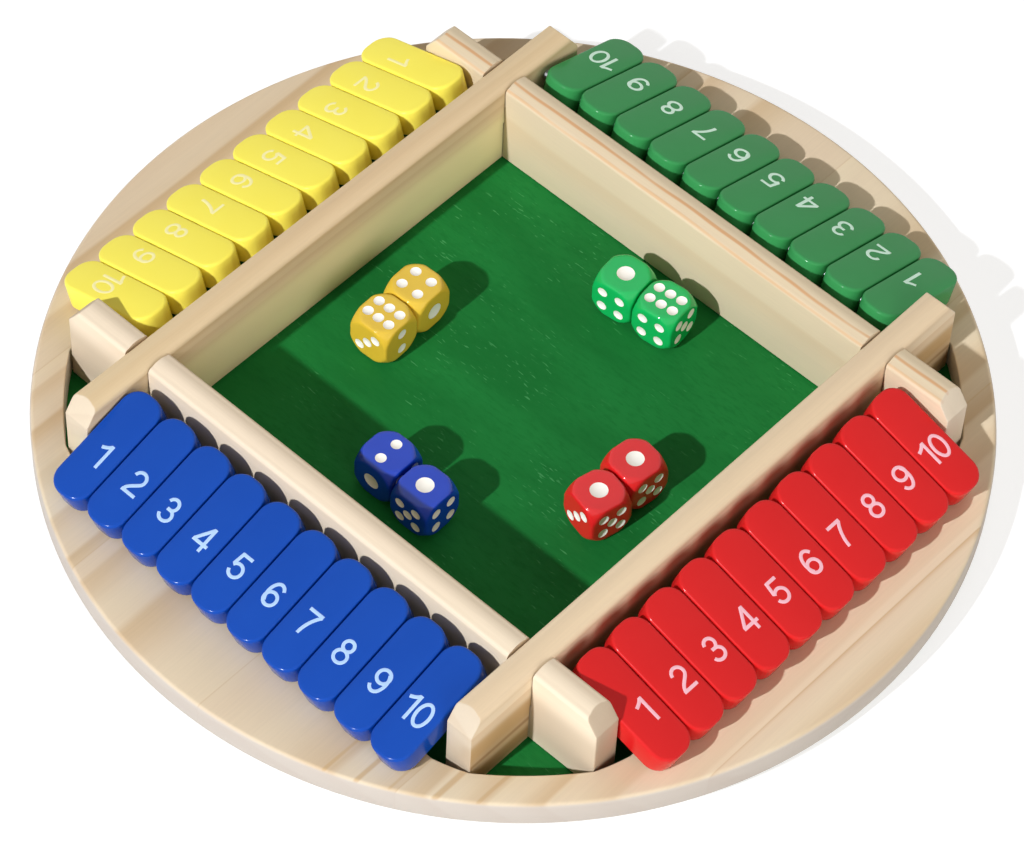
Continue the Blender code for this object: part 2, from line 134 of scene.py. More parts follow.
class Bench:
    """Picks, shapes and places meshes with Blender's own operators."""

    @staticmethod
    def clear() -> None:
        """Leave edit mode and select nothing."""
        if bpy.context.object and bpy.context.object.mode != "OBJECT":
            bpy.ops.object.mode_set(mode="OBJECT")
        bpy.ops.object.select_all(action="DESELECT")

    @classmethod
    def take(cls, item: Piece) -> Piece:
        """Make one object the only selected and active one."""
        cls.clear()
        item.select_set(True)
        bpy.context.view_layer.objects.active = item
        return item

    @classmethod
    def block(cls, name: str, low: Sequence[float], high: Sequence[float]) -> Piece:
        """Add a block between two corners.

        Args:
            name: The new object's name.
            low: The lowest corner, in metres.
            high: The highest corner, in metres.

        Returns:
            The block, its place and size in its mesh.
        """
        cls.clear()
        middle = [(a + b) / 2 for a, b in zip(low, high)]
        size = [b - a for a, b in zip(low, high)]
        bpy.ops.mesh.primitive_cube_add(size=1, location=middle, scale=size)
        item = bpy.context.object
        item.name = name
        cls.settle(item)
        return item

    @classmethod
    def settle(cls, item: Piece) -> None:
        """Move an object's place, turn and size into its mesh."""
        cls.take(item)
        bpy.ops.object.transform_apply(location=True, rotation=True, scale=True)

    @classmethod
    def place(cls, item: Piece, matrix: Matrix) -> None:
        """Put an object at a frame and keep that place in its mesh."""
        item.matrix_world = matrix
        cls.settle(item)

    @classmethod
    def copy(cls, item: Piece, name: str) -> Piece:
        """Duplicate an object with its own mesh."""
        cls.take(item)
        bpy.ops.object.duplicate(linked=False)
        twin = bpy.context.object
        twin.name = name
        return twin

    @classmethod
    def remove(cls, item: Piece) -> None:
        """Take a helper object off the bench."""
        cls.take(item)
        bpy.ops.object.delete()

    @classmethod
    def edit(cls, item: Piece, mode: str = "EDGE") -> None:
        """Open an object for editing with nothing selected."""
        cls.take(item)
        bpy.ops.object.mode_set(mode="EDIT")
        bpy.ops.mesh.select_mode(type=mode)
        bpy.ops.mesh.select_all(action="DESELECT")

    @staticmethod
    def pick_edges(item: Piece, test: Callable[[Vector, Vector], bool]) -> None:
        """Select the edges of the open mesh whose two ends pass a test."""
        shape = bmesh.from_edit_mesh(item.data)
        for edge in shape.edges:
            edge.select_set(test(edge.verts[0].co, edge.verts[1].co))
        bmesh.update_edit_mesh(item.data)

    @staticmethod
    def pick_points(item: Piece, test: Callable[[Vector], bool]) -> None:
        """Select the points of the open mesh that pass a test."""
        shape = bmesh.from_edit_mesh(item.data)
        for vertex in shape.verts:
            vertex.select_set(test(vertex.co))
        shape.select_flush_mode()
        bmesh.update_edit_mesh(item.data)

    @staticmethod
    def slice(place: Sequence[float], normal: Sequence[float], fill: bool, clear: bool) -> None:
        """Slice the whole open mesh with a plane.

        Args:
            place: A point on the plane.
            normal: The plane's direction, of any length.
            fill: Close the slice with a face.
            clear: Take away what lies in front of the plane.
        """
        bpy.ops.mesh.select_all(action="SELECT")
        bpy.ops.mesh.bisect(
            plane_co=place, plane_no=Vector(normal).normalized(), use_fill=fill, clear_outer=clear
        )

    @staticmethod
    def close() -> None:
        """Leave edit mode."""
        bpy.ops.object.mode_set(mode="OBJECT")

    @classmethod
    def cut(cls, item: Piece, cutter: Piece, keep_inside: bool = False) -> None:
        """Cut one object with another and take the cutter away.

        Args:
            item: The object to cut.
            cutter: The shape that cuts it.
            keep_inside: Keep what the cutter covers instead of the rest.
        """
        cls.take(item)
        change = item.modifiers.new("cut", "BOOLEAN")
        change.operation = "INTERSECT" if keep_inside else "DIFFERENCE"
        change.solver = "EXACT"
        change.material_mode = "INDEX"
        change.object = cutter
        bpy.ops.object.modifier_apply(modifier=change.name)
        cls.remove(cutter)

    @classmethod
    def round_edges(cls, item: Piece, width: float, segments: int, angle: float) -> None:
        """Round every edge that is sharper than an angle.

        Args:
            item: The object to round.
            width: The rounding's width, in metres.
            segments: How many facets the rounding has.
            angle: The sharpest angle that stays, in degrees.
        """
        cls.take(item)
        change = item.modifiers.new("rounding", "BEVEL")
        change.width = width
        change.segments = segments
        change.limit_method = "ANGLE"
        change.angle_limit = math.radians(angle)
        change.harden_normals = False
        bpy.ops.object.modifier_apply(modifier=change.name)

    @classmethod
    def join(cls, items: Sequence[Piece], name: str) -> Piece:
        """Join objects into the first one."""
        cls.take(items[0])
        for item in items[1:]:
            item.select_set(True)
        bpy.ops.object.join()
        joined = bpy.context.object
        joined.name = name
        return joined

    @classmethod
    def smooth(cls, item: Piece, angle: float = 35.0) -> None:
        """Shade an object smooth across its gentle edges."""
        cls.take(item)
        bpy.ops.object.shade_smooth_by_angle(angle=math.radians(angle))


# Shader desk and the groups that several finishes share


class ShaderDesk:
    """Adds and links the nodes of one shader tree."""

    def __init__(self, tree: Tree) -> None:
        """Keep the tree that the nodes go into."""
        self.tree = tree

    def add(self, kind: str, name: str = "", **settings: object) -> Node:
        """Add a node.

        Args:
            kind: The node's type.
            name: Its label.
            settings: Values for its own properties.

        Returns:
            The new node.
        """
        node = self.tree.nodes.new(kind)
        if name:
            node.name = node.label = name
        for key, value in settings.items():
            setattr(node, key, value)
        return node

    def feed(self, socket: Socket, value: object) -> None:
        """Link a socket to another one, or set its value."""
        if isinstance(value, Socket):
            self.tree.links.new(value, socket)
        elif value is not None:
            socket.default_value = value

    def math(self, operation: str, *values: object, clamp: bool = False) -> Socket:
        """Add a maths node on up to three values and return its result."""
        node = self.add("ShaderNodeMath", operation=operation, use_clamp=clamp)
        for socket, value in zip(node.inputs, values):
            self.feed(socket, value)
        return node.outputs[0]

    def vector(self, operation: str, *values: object) -> Socket:
        """Add a vector maths node and return its vector."""
        node = self.add("ShaderNodeVectorMath", operation=operation)
        for socket, value in zip(node.inputs, values):
            self.feed(socket, value)
        return node.outputs[0]

    def span(self, value: object, low: float, high: float, out_low: object = 0.0,
             out_high: object = 1.0) -> Socket:
        """Map a value smoothly from one range onto another."""
        node = self.add("ShaderNodeMapRange", interpolation_type="SMOOTHSTEP")
        for index, part in enumerate((value, low, high, out_low, out_high)):
            self.feed(node.inputs[index], part)
        return node.outputs[0]

    def noise(self, vector: object, scale: float, detail: float = 2.0,
              roughness: float = 0.5) -> Node:
        """Add a noise texture."""
        node = self.add("ShaderNodeTexNoise")
        self.feed(node.inputs["Vector"], vector)
        self.feed(node.inputs["Scale"], scale)
        self.feed(node.inputs["Detail"], detail)
        self.feed(node.inputs["Roughness"], roughness)
        return node

    def stretched(self, vector: object, stretch: Sequence[float], detail: float,
                  roughness: float) -> Node:
        """Add noise whose grain has its own size along each axis."""
        return self.noise(self.vector("MULTIPLY", vector, stretch), 1.0, detail, roughness)

    def blend(self, factor: object, first: object, second: object) -> Socket:
        """Mix two colours and return the result."""
        node = self.add("ShaderNodeMix", data_type="RGBA")
        self.feed(node.inputs[0], factor)
        self.feed(node.inputs[6], first)
        self.feed(node.inputs[7], second)
        return node.outputs[2]


class GroupKit:
    """Builds the shared shader groups once and places them in materials."""

    @staticmethod
    def _start(name: str, inputs: Sequence[tuple[str, str, object]],
               outputs: Sequence[tuple[str, str]]) -> tuple[ShaderDesk, Node, Node]:
        """Open a new group with named sockets.

        Args:
            name: The group's name.
            inputs: Each input's name, kind and default.
            outputs: Each output's name and kind.

        Returns:
            The desk, the group's input node and its output node.
        """
        tree = bpy.data.node_groups.new(name, "ShaderNodeTree")
        for title, kind, default in inputs:
            socket = tree.interface.new_socket(title, in_out="INPUT", socket_type=kind)
            if default is not None:
                socket.default_value = default
        for title, kind in outputs:
            tree.interface.new_socket(title, in_out="OUTPUT", socket_type=kind)
        desk = ShaderDesk(tree)
        return desk, desk.add("NodeGroupInput"), desk.add("NodeGroupOutput")

    @classmethod
    def pine_rings(cls) -> Tree:
        """Return the group that draws growth rings and fibres along X."""
        name = "pine_rings"
        if name in bpy.data.node_groups:
            return bpy.data.node_groups[name]
        desk, given, result = cls._start(
            name,
            (
                ("Vector", "NodeSocketVector", None),
                ("Ring Spacing", "NodeSocketFloat", 0.003),
                ("Waviness", "NodeSocketFloat", 0.002),
                ("Latewood", "NodeSocketFloat", 0.5),
                ("Fibre", "NodeSocketFloat", 0.1),
                ("Early Colour", "NodeSocketColor", None),
                ("Late Colour", "NodeSocketColor", None),
                ("Blush Colour", "NodeSocketColor", None),
                ("Blush", "NodeSocketFloat", 0.3),
            ),
            (("Colour", "NodeSocketColor"), ("Height", "NodeSocketFloat"), ("Gloss", "NodeSocketFloat")),
        )
        place = given.outputs["Vector"]
        drawn = desk.vector("MULTIPLY", place, (0.16, 1.0, 1.0))
        drift = desk.noise(drawn, 26.0, 2.0, 0.5)
        sway = desk.vector("SUBTRACT", drift.outputs["Color"], (0.5, 0.5, 0.5))
        scale = desk.add("ShaderNodeVectorMath", operation="SCALE")
        desk.feed(scale.inputs[0], sway)
        desk.feed(scale.inputs["Scale"], given.outputs["Waviness"])
        moved = desk.vector("ADD", place, scale.outputs[0])
        across = desk.vector("MULTIPLY", moved, (0.0, 1.0, 1.0))
        reach = desk.add("ShaderNodeVectorMath", operation="LENGTH")
        desk.feed(reach.inputs[0], across)
        phase = desk.math("DIVIDE", reach.outputs["Value"], given.outputs["Ring Spacing"])
        part = desk.math("FRACT", phase)
        order = desk.add("ShaderNodeTexWhiteNoise", noise_dimensions="1D")
        desk.feed(order.inputs["W"], desk.math("FLOOR", phase))
        rise = desk.span(part, 0.25, 0.86)
        fall = desk.span(part, 0.86, 1.0, 1.0, 0.0)
        ring = desk.math("MULTIPLY", rise, fall)
        weight = desk.math("MULTIPLY_ADD", order.outputs["Value"], 0.85, 0.15)
        ring = desk.math("MULTIPLY", ring, weight)
        mask = desk.math("MULTIPLY", ring, given.outputs["Latewood"], clamp=True)
        thread = desk.vector("MULTIPLY", place, (45.0, 1400.0, 1400.0))
        fibres = desk.noise(thread, 1.0, 3.0, 0.6).outputs["Fac"]
        flush = desk.stretched(place, (7.0, 38.0, 38.0), 2.0, 0.5)
        tone = desk.span(flush.outputs["Fac"], 0.35, 0.7)
        tone = desk.math("MULTIPLY", tone, given.outputs["Blush"])
        colour = desk.blend(tone, given.outputs["Early Colour"], given.outputs["Blush Colour"])
        colour = desk.blend(mask, colour, given.outputs["Late Colour"])
        shade = desk.math("SUBTRACT", fibres, 0.5)
        shade = desk.math("MULTIPLY_ADD", shade, given.outputs["Fibre"], 1.0)
        bright = desk.add("ShaderNodeHueSaturation")
        desk.feed(bright.inputs["Value"], shade)
        desk.feed(bright.inputs["Color"], colour)
        desk.feed(result.inputs["Colour"], bright.outputs[0])
        height = desk.math("MULTIPLY_ADD", mask, 0.5, desk.math("MULTIPLY", fibres, 0.5))
        desk.feed(result.inputs["Height"], height)
        desk.feed(result.inputs["Gloss"], desk.span(fibres, 0.3, 0.7))
        return desk.tree

    @classmethod
    def glued_boards(cls) -> Tree:
        """Return the group that splits a panel into boards laid along X."""
        name = "glued_boards"
        if name in bpy.data.node_groups:
            return bpy.data.node_groups[name]
        desk, given, result = cls._start(
            name,
            (("Vector", "NodeSocketVector", None), ("Board Width", "NodeSocketFloat", 0.05)),
            (("Vector", "NodeSocketVector"), ("Tone", "NodeSocketFloat"), ("Seam", "NodeSocketFloat")),
        )
        split = desk.add("ShaderNodeSeparateXYZ")
        desk.feed(split.inputs[0], given.outputs["Vector"])
        count = desk.math("DIVIDE", split.outputs["Y"], given.outputs["Board Width"])
        number = desk.math("FLOOR", count)
        part = desk.math("FRACT", count)
        draw = desk.add("ShaderNodeTexWhiteNoise", noise_dimensions="1D")
        desk.feed(draw.inputs["W"], number)
        shift = desk.vector("MULTIPLY", draw.outputs["Color"], (0.7, 0.02, 0.03))
        desk.feed(result.inputs["Vector"], desk.vector("ADD", given.outputs["Vector"], shift))
        desk.feed(result.inputs["Tone"], draw.outputs["Value"])
        edge = desk.math("MINIMUM", part, desk.math("SUBTRACT", 1.0, part))
        desk.feed(result.inputs["Seam"], desk.span(edge, 0.0, 0.006, 1.0, 0.0))
        return desk.tree

    @classmethod
    def grain_line(cls) -> Tree:
        """Return the group that masks one growth line, or a band of painted light or shade, about a straight
        line.
        """
        name = "grain_line"
        if name in bpy.data.node_groups:
            return bpy.data.node_groups[name]
        desk, given, result = cls._start(
            name,
            (
                ("Vector", "NodeSocketVector", None),
                ("Place", "NodeSocketVector", None),
                ("Direction", "NodeSocketVector", (1.0, 0.0, 0.0)),
                ("Half Width", "NodeSocketFloat", 0.0005),
                ("Reach", "NodeSocketFloat", 0.2),
                ("Drift", "NodeSocketFloat", 0.001),
            ),
            (("Mask", "NodeSocketFloat"),),
        )
        offset = desk.vector("SUBTRACT", given.outputs["Vector"], given.outputs["Place"])
        along = desk.add("ShaderNodeVectorMath", operation="DOT_PRODUCT")
        desk.feed(along.inputs[0], offset)
        desk.feed(along.inputs[1], given.outputs["Direction"])
        axis = desk.add("ShaderNodeVectorMath", operation="SCALE")
        desk.feed(axis.inputs[0], given.outputs["Direction"])
        desk.feed(axis.inputs["Scale"], along.outputs["Value"])
        own = desk.vector("MULTIPLY", given.outputs["Place"], (9.0, 9.0, 9.0))
        seed = desk.vector("ADD", axis.outputs[0], own)
        bend = desk.vector("SUBTRACT", desk.noise(seed, 17.0, 2.0, 0.55).outputs["Color"], (0.5, 0.5, 0.5))
        sway = desk.add("ShaderNodeVectorMath", operation="SCALE")
        desk.feed(sway.inputs[0], bend)
        desk.feed(sway.inputs["Scale"], given.outputs["Drift"])
        across = desk.vector("SUBTRACT", desk.vector("SUBTRACT", offset, axis.outputs[0]), sway.outputs[0])
        far = desk.add("ShaderNodeVectorMath", operation="LENGTH")
        desk.feed(far.inputs[0], across)
        share = desk.math("DIVIDE", far.outputs["Value"], given.outputs["Half Width"])
        line = desk.span(share, 0.35, 1.0, 1.0, 0.0)
        gone = desk.math("DIVIDE", desk.math("ABSOLUTE", along.outputs["Value"]), given.outputs["Reach"])
        desk.feed(result.inputs["Mask"], desk.math("MULTIPLY", line, desk.span(gone, 0.75, 1.0, 1.0, 0.0)))
        return desk.tree

    @classmethod
    def uneven_coat(cls) -> Tree:
        """Return the group for the slight unevenness of paint and plastic."""
        name = "uneven_coat"
        if name in bpy.data.node_groups:
            return bpy.data.node_groups[name]
        desk, given, result = cls._start(
            name,
            (
                ("Vector", "NodeSocketVector", None),
                ("Colour", "NodeSocketColor", None),
                ("Deep Colour", "NodeSocketColor", None),
                ("Amount", "NodeSocketFloat", 0.3),
                ("Grain Shows", "NodeSocketFloat", 0.2),
                ("Roughness", "NodeSocketFloat", 0.3),
            ),
            (("Colour", "NodeSocketColor"), ("Roughness", "NodeSocketFloat"), ("Height", "NodeSocketFloat")),
        )
        place = given.outputs["Vector"]
        cloud = desk.noise(place, 55.0, 3.0, 0.55).outputs["Fac"]
        peel = desk.noise(place, 900.0, 2.0, 0.5).outputs["Fac"]
        grain = desk.stretched(place, (60.0, 900.0, 900.0), 2.0, 0.5)
        tone = desk.math("MULTIPLY", desk.span(cloud, 0.3, 0.75), given.outputs["Amount"])
        desk.feed(result.inputs["Colour"],
                  desk.blend(tone, given.outputs["Colour"], given.outputs["Deep Colour"]))
        wobble = desk.math("MULTIPLY_ADD", desk.math("SUBTRACT", cloud, 0.5), 0.12,
                           given.outputs["Roughness"])
        desk.feed(result.inputs["Roughness"], wobble)
        lines = desk.math("MULTIPLY", grain.outputs["Fac"], given.outputs["Grain Shows"])
        desk.feed(result.inputs["Height"], desk.math("MULTIPLY_ADD", peel, 0.35, lines))
        return desk.tree

    @staticmethod
    def use(desk: ShaderDesk, tree: Tree, **values: object) -> Node:
        """Place a group in a material.

        Args:
            desk: The material's desk.
            tree: The group.
            values: Input values by socket name, with _ for a space.

        Returns:
            The group's node.
        """
        node = desk.add("ShaderNodeGroup", tree.name, node_tree=tree)
        for key, value in values.items():
            desk.feed(node.inputs[key.replace("_", " ")], value)
        return node


def open_material(name: str) -> tuple[Material, ShaderDesk, Node]:
    """Start a material.

    Args:
        name: The material's name.

    Returns:
        The material, its desk and its principled shader.
    """
    material = bpy.data.materials.new(name)
    material.use_nodes = True
    desk = ShaderDesk(material.node_tree)
    return material, desk, material.node_tree.nodes["Principled BSDF"]


def mapped(desk: ShaderDesk, turn: float, shift: Sequence[float]) -> Socket:
    """Return object coordinates turned about Z and then shifted.

    Args:
        desk: The material's desk.
        turn: The turn that brings the piece's length onto X, in degrees.
        shift: What is added after the turn, in metres.

    Returns:
        The vector for a pattern that runs along X.
    """
    coords = desk.add("ShaderNodeTexCoord")
    mapping = desk.add("ShaderNodeMapping")
    desk.feed(mapping.inputs["Vector"], coords.outputs["Object"])
    mapping.inputs["Rotation"].default_value = (0.0, 0.0, math.radians(turn))
    mapping.inputs["Location"].default_value = tuple(shift)
    return mapping.outputs[0]


def bump(desk: ShaderDesk, shader: Node, height: object, strength: float, distance: float) -> None:
    """Raise a shader's surface by a height pattern."""
    node = desk.add("ShaderNodeBump")
    node.inputs["Strength"].default_value = strength
    node.inputs["Distance"].default_value = distance
    desk.feed(node.inputs["Height"], height)
    desk.feed(shader.inputs["Normal"], node.outputs["Normal"])


# Finishes


@dataclass(frozen=True)
class GrainLineOrLightBand:
    """One growth line or streak of a board, or a wide band of painted light or shade over one face, in
    millimetres after the board's turn.
    """

    place: Point3
    half_width: float
    colour: Colour
    share: float
    drift: float = 1.0
    reach: float = 250.0
    direction: Point3 = (1.0, 0.0, 0.0)

    def draw(self, desk: ShaderDesk, vector: Socket, colour: object) -> Socket:
        """Lay the line, or the band of painted light or shade, over a board's colour.

        Args:
            desk: The material's desk.
            vector: The board's coordinates.
            colour: The colour under the line.

        Returns:
            The colour with the line on it.
        """
        group = GroupKit.use(
            desk, GroupKit.grain_line(), Vector=vector, Place=tuple(part * MM for part in self.place),
            Direction=self.direction, Half_Width=self.half_width * MM, Reach=self.reach * MM,
            Drift=self.drift * MM,
        )
        mask = desk.math("MULTIPLY", group.outputs["Mask"], self.share)
        return desk.blend(mask, colour, linear(self.colour))


@dataclass(frozen=True)
class PineFinish:
    """Bare, fine-sanded pine with its own board's rings."""

    name: str
    early: Colour
    late: Colour
    blush: Colour
    turn: float = 0.0
    trunk: Point3 = (0.0, 0.03, 0.04)
    spacing: float = 0.0032
    waviness: float = 0.004
    latewood: float = 0.5
    blush_share: float = 0.4
    fibre: float = 0.12
    boards: float = 0.0
    end_grain: Colour = (214, 202, 186)
    end_axis: Point3 = (1.0, 0.0, 0.0)
    end_share: float = 0.6
    # Growth streaks, and on three rails wide bands of painted light or shade over one face.
    lines: tuple[GrainLineOrLightBand, ...] = ()

    def build(self) -> Material:
        """Return the board's material."""
        material, desk, shader = open_material(self.name)
        place = mapped(desk, self.turn, (0.0, 0.0, 0.0))
        vector = desk.vector("ADD", place, self.trunk)
        seam = None
        early: object = linear(self.early)
        if self.boards:
            glue = GroupKit.use(desk, GroupKit.glued_boards(), Vector=vector, Board_Width=self.boards)
            vector, seam = glue.outputs["Vector"], glue.outputs["Seam"]
            tone = desk.math("MULTIPLY", glue.outputs["Tone"], 0.55)
            early = desk.blend(tone, linear(self.early), linear(self.blush))
        rings = GroupKit.use(
            desk, GroupKit.pine_rings(), Vector=vector, Ring_Spacing=self.spacing,
            Waviness=self.waviness, Latewood=self.latewood, Fibre=self.fibre, Early_Colour=early,
            Late_Colour=linear(self.late), Blush_Colour=linear(self.blush), Blush=self.blush_share,
        )
        colour = rings.outputs["Colour"]
        if seam is not None:
            faint = desk.math("MULTIPLY", seam, 0.35)
            colour = desk.blend(faint, colour, linear(self.late))
        # Lay the growth streaks and any bands of painted light or shade over the wood.
        for line in self.lines:
            colour = line.draw(desk, place, colour)
        facing = desk.add("ShaderNodeVectorMath", operation="DOT_PRODUCT")
        desk.feed(facing.inputs[0], desk.add("ShaderNodeTexCoord").outputs["Normal"])
        facing.inputs[1].default_value = self.end_axis
        end = desk.math("ABSOLUTE", facing.outputs["Value"])
        if self.boards:
            end = desk.math("SUBTRACT", 1.0, end)
        end = desk.math("MULTIPLY", desk.span(end, 0.08, 0.7), self.end_share)
        colour = desk.blend(end, colour, linear(self.end_grain))
        desk.feed(shader.inputs["Base Color"], colour)
        desk.feed(shader.inputs["Roughness"], desk.math("MULTIPLY_ADD", rings.outputs["Gloss"], 0.14, 0.46))
        shader.inputs["Specular IOR Level"].default_value = 0.2
        bump(desk, shader, rings.outputs["Height"], 0.35, 0.12 * MM)
        return material


@dataclass(frozen=True)
class CoatFinish:
    """Paint, ink or moulded plastic with a slight unevenness."""

    name: str
    colour: Colour
    deep: Colour
    roughness: float
    amount: float
    turn: float = 0.0
    grain: float = 0.0
    specular: float = 0.5
    relief: float = 0.1
    depth: float = 0.03 * MM

    def build(self) -> Material:
        """Return the coat's material."""
        material, desk, shader = open_material(self.name)
        coat = GroupKit.use(
            desk, GroupKit.uneven_coat(), Vector=mapped(desk, self.turn, (0.0, 0.0, 0.0)),
            Colour=linear(self.colour), Deep_Colour=linear(self.deep), Amount=self.amount,
            Grain_Shows=self.grain, Roughness=self.roughness,
        )
        desk.feed(shader.inputs["Base Color"], coat.outputs["Colour"])
        desk.feed(shader.inputs["Roughness"], coat.outputs["Roughness"])
        shader.inputs["Specular IOR Level"].default_value = self.specular
        bump(desk, shader, coat.outputs["Height"], self.relief, self.depth)
        return material


def enamel(name: str, colour: Colour, deep: Colour, turn: float, roughness: float) -> CoatFinish:
    """Return glossy enamel brushed over a wooden tile whose grain runs at a turn."""
    return CoatFinish(
        f"tile_enamel_{name}", colour, deep, roughness, amount=0.35, turn=turn, grain=0.35, specular=0.17,
        relief=0.18, depth=0.08 * MM,
    )


def plastic(name: str, colour: Colour, deep: Colour) -> CoatFinish:
    """Return the moulded, polished plastic of a die."""
    return CoatFinish(f"die_plastic_{name}", colour, deep, roughness=0.13, amount=0.5, depth=0.04 * MM)


def ink(name: str, colour: Colour, deep: Colour, roughness: float = 0.45) -> CoatFinish:
    """Return pale printing ink or pip paint."""
    return CoatFinish(name, colour, deep, roughness, amount=0.6)


@dataclass(frozen=True)
class StainFinish:
    """Green stain over the thin panel's open-pored veneer."""

    name: str = "green_stained_veneer"
    colour: Colour = (28, 120, 54)
    deep: Colour = (20, 104, 44)
    fleck: Colour = (88, 172, 108)

    def build(self) -> Material:
        """Return the stained veneer's material."""
        material, desk, shader = open_material(self.name)
        vector = mapped(desk, -90.0, (0.0, 0.0, 0.0))
        cloud = desk.stretched(vector, (12.0, 45.0, 45.0), 3.0, 0.6)
        pores = desk.stretched(vector, (240.0, 900.0, 900.0), 3.0, 0.6)
        flecks = desk.stretched(vector, (300.0, 1500.0, 1500.0), 1.0, 0.4)
        patch = desk.noise(vector, 42.0, 2.0, 0.5)
        shade = desk.span(cloud.outputs["Fac"], 0.3, 0.72)
        colour = desk.blend(shade, linear(self.colour), linear(self.deep))
        dark = desk.math("MULTIPLY", desk.span(pores.outputs["Fac"], 0.45, 0.75), 0.6)
        colour = desk.blend(dark, colour, linear(self.deep))
        light = desk.span(flecks.outputs["Fac"], 0.66, 0.78)
        light = desk.math("MULTIPLY", light, desk.span(patch.outputs["Fac"], 0.45, 0.65))
        light = desk.math("MULTIPLY", light, 0.5)
        colour = desk.blend(light, colour, linear(self.fleck))
        desk.feed(shader.inputs["Base Color"], colour)
        desk.feed(shader.inputs["Roughness"], desk.span(pores.outputs["Fac"], 0.3, 0.7, 0.5, 0.66))
        shader.inputs["Specular IOR Level"].default_value = 0.1
        bump(desk, shader, pores.outputs["Fac"], 0.25, 0.1 * MM)
        return material


@dataclass(frozen=True)
class SteelFinish:
    """Drawn steel of the hidden rods."""

    name: str = "drawn_steel"
    colour: Colour = (176, 178, 182)
    dull: Colour = (138, 140, 146)

    def build(self) -> Material:
        """Return the steel's material."""
        material, desk, shader = open_material(self.name)
        coords = desk.add("ShaderNodeTexCoord").outputs["Object"]
        lines = desk.stretched(coords, (900.0, 900.0, 2600.0), 2.0, 0.6)
        drawn = desk.span(lines.outputs["Fac"], 0.3, 0.8)
        desk.feed(shader.inputs["Base Color"], desk.blend(drawn, linear(self.colour), linear(self.dull)))
        shader.inputs["Metallic"].default_value = 1.0
        desk.feed(shader.inputs["Roughness"], desk.span(lines.outputs["Fac"], 0.2, 0.8, 0.24, 0.42))
        bump(desk, shader, lines.outputs["Fac"], 0.15, 0.02 * MM)
        return material


# Board: ring, rails, floor and rods


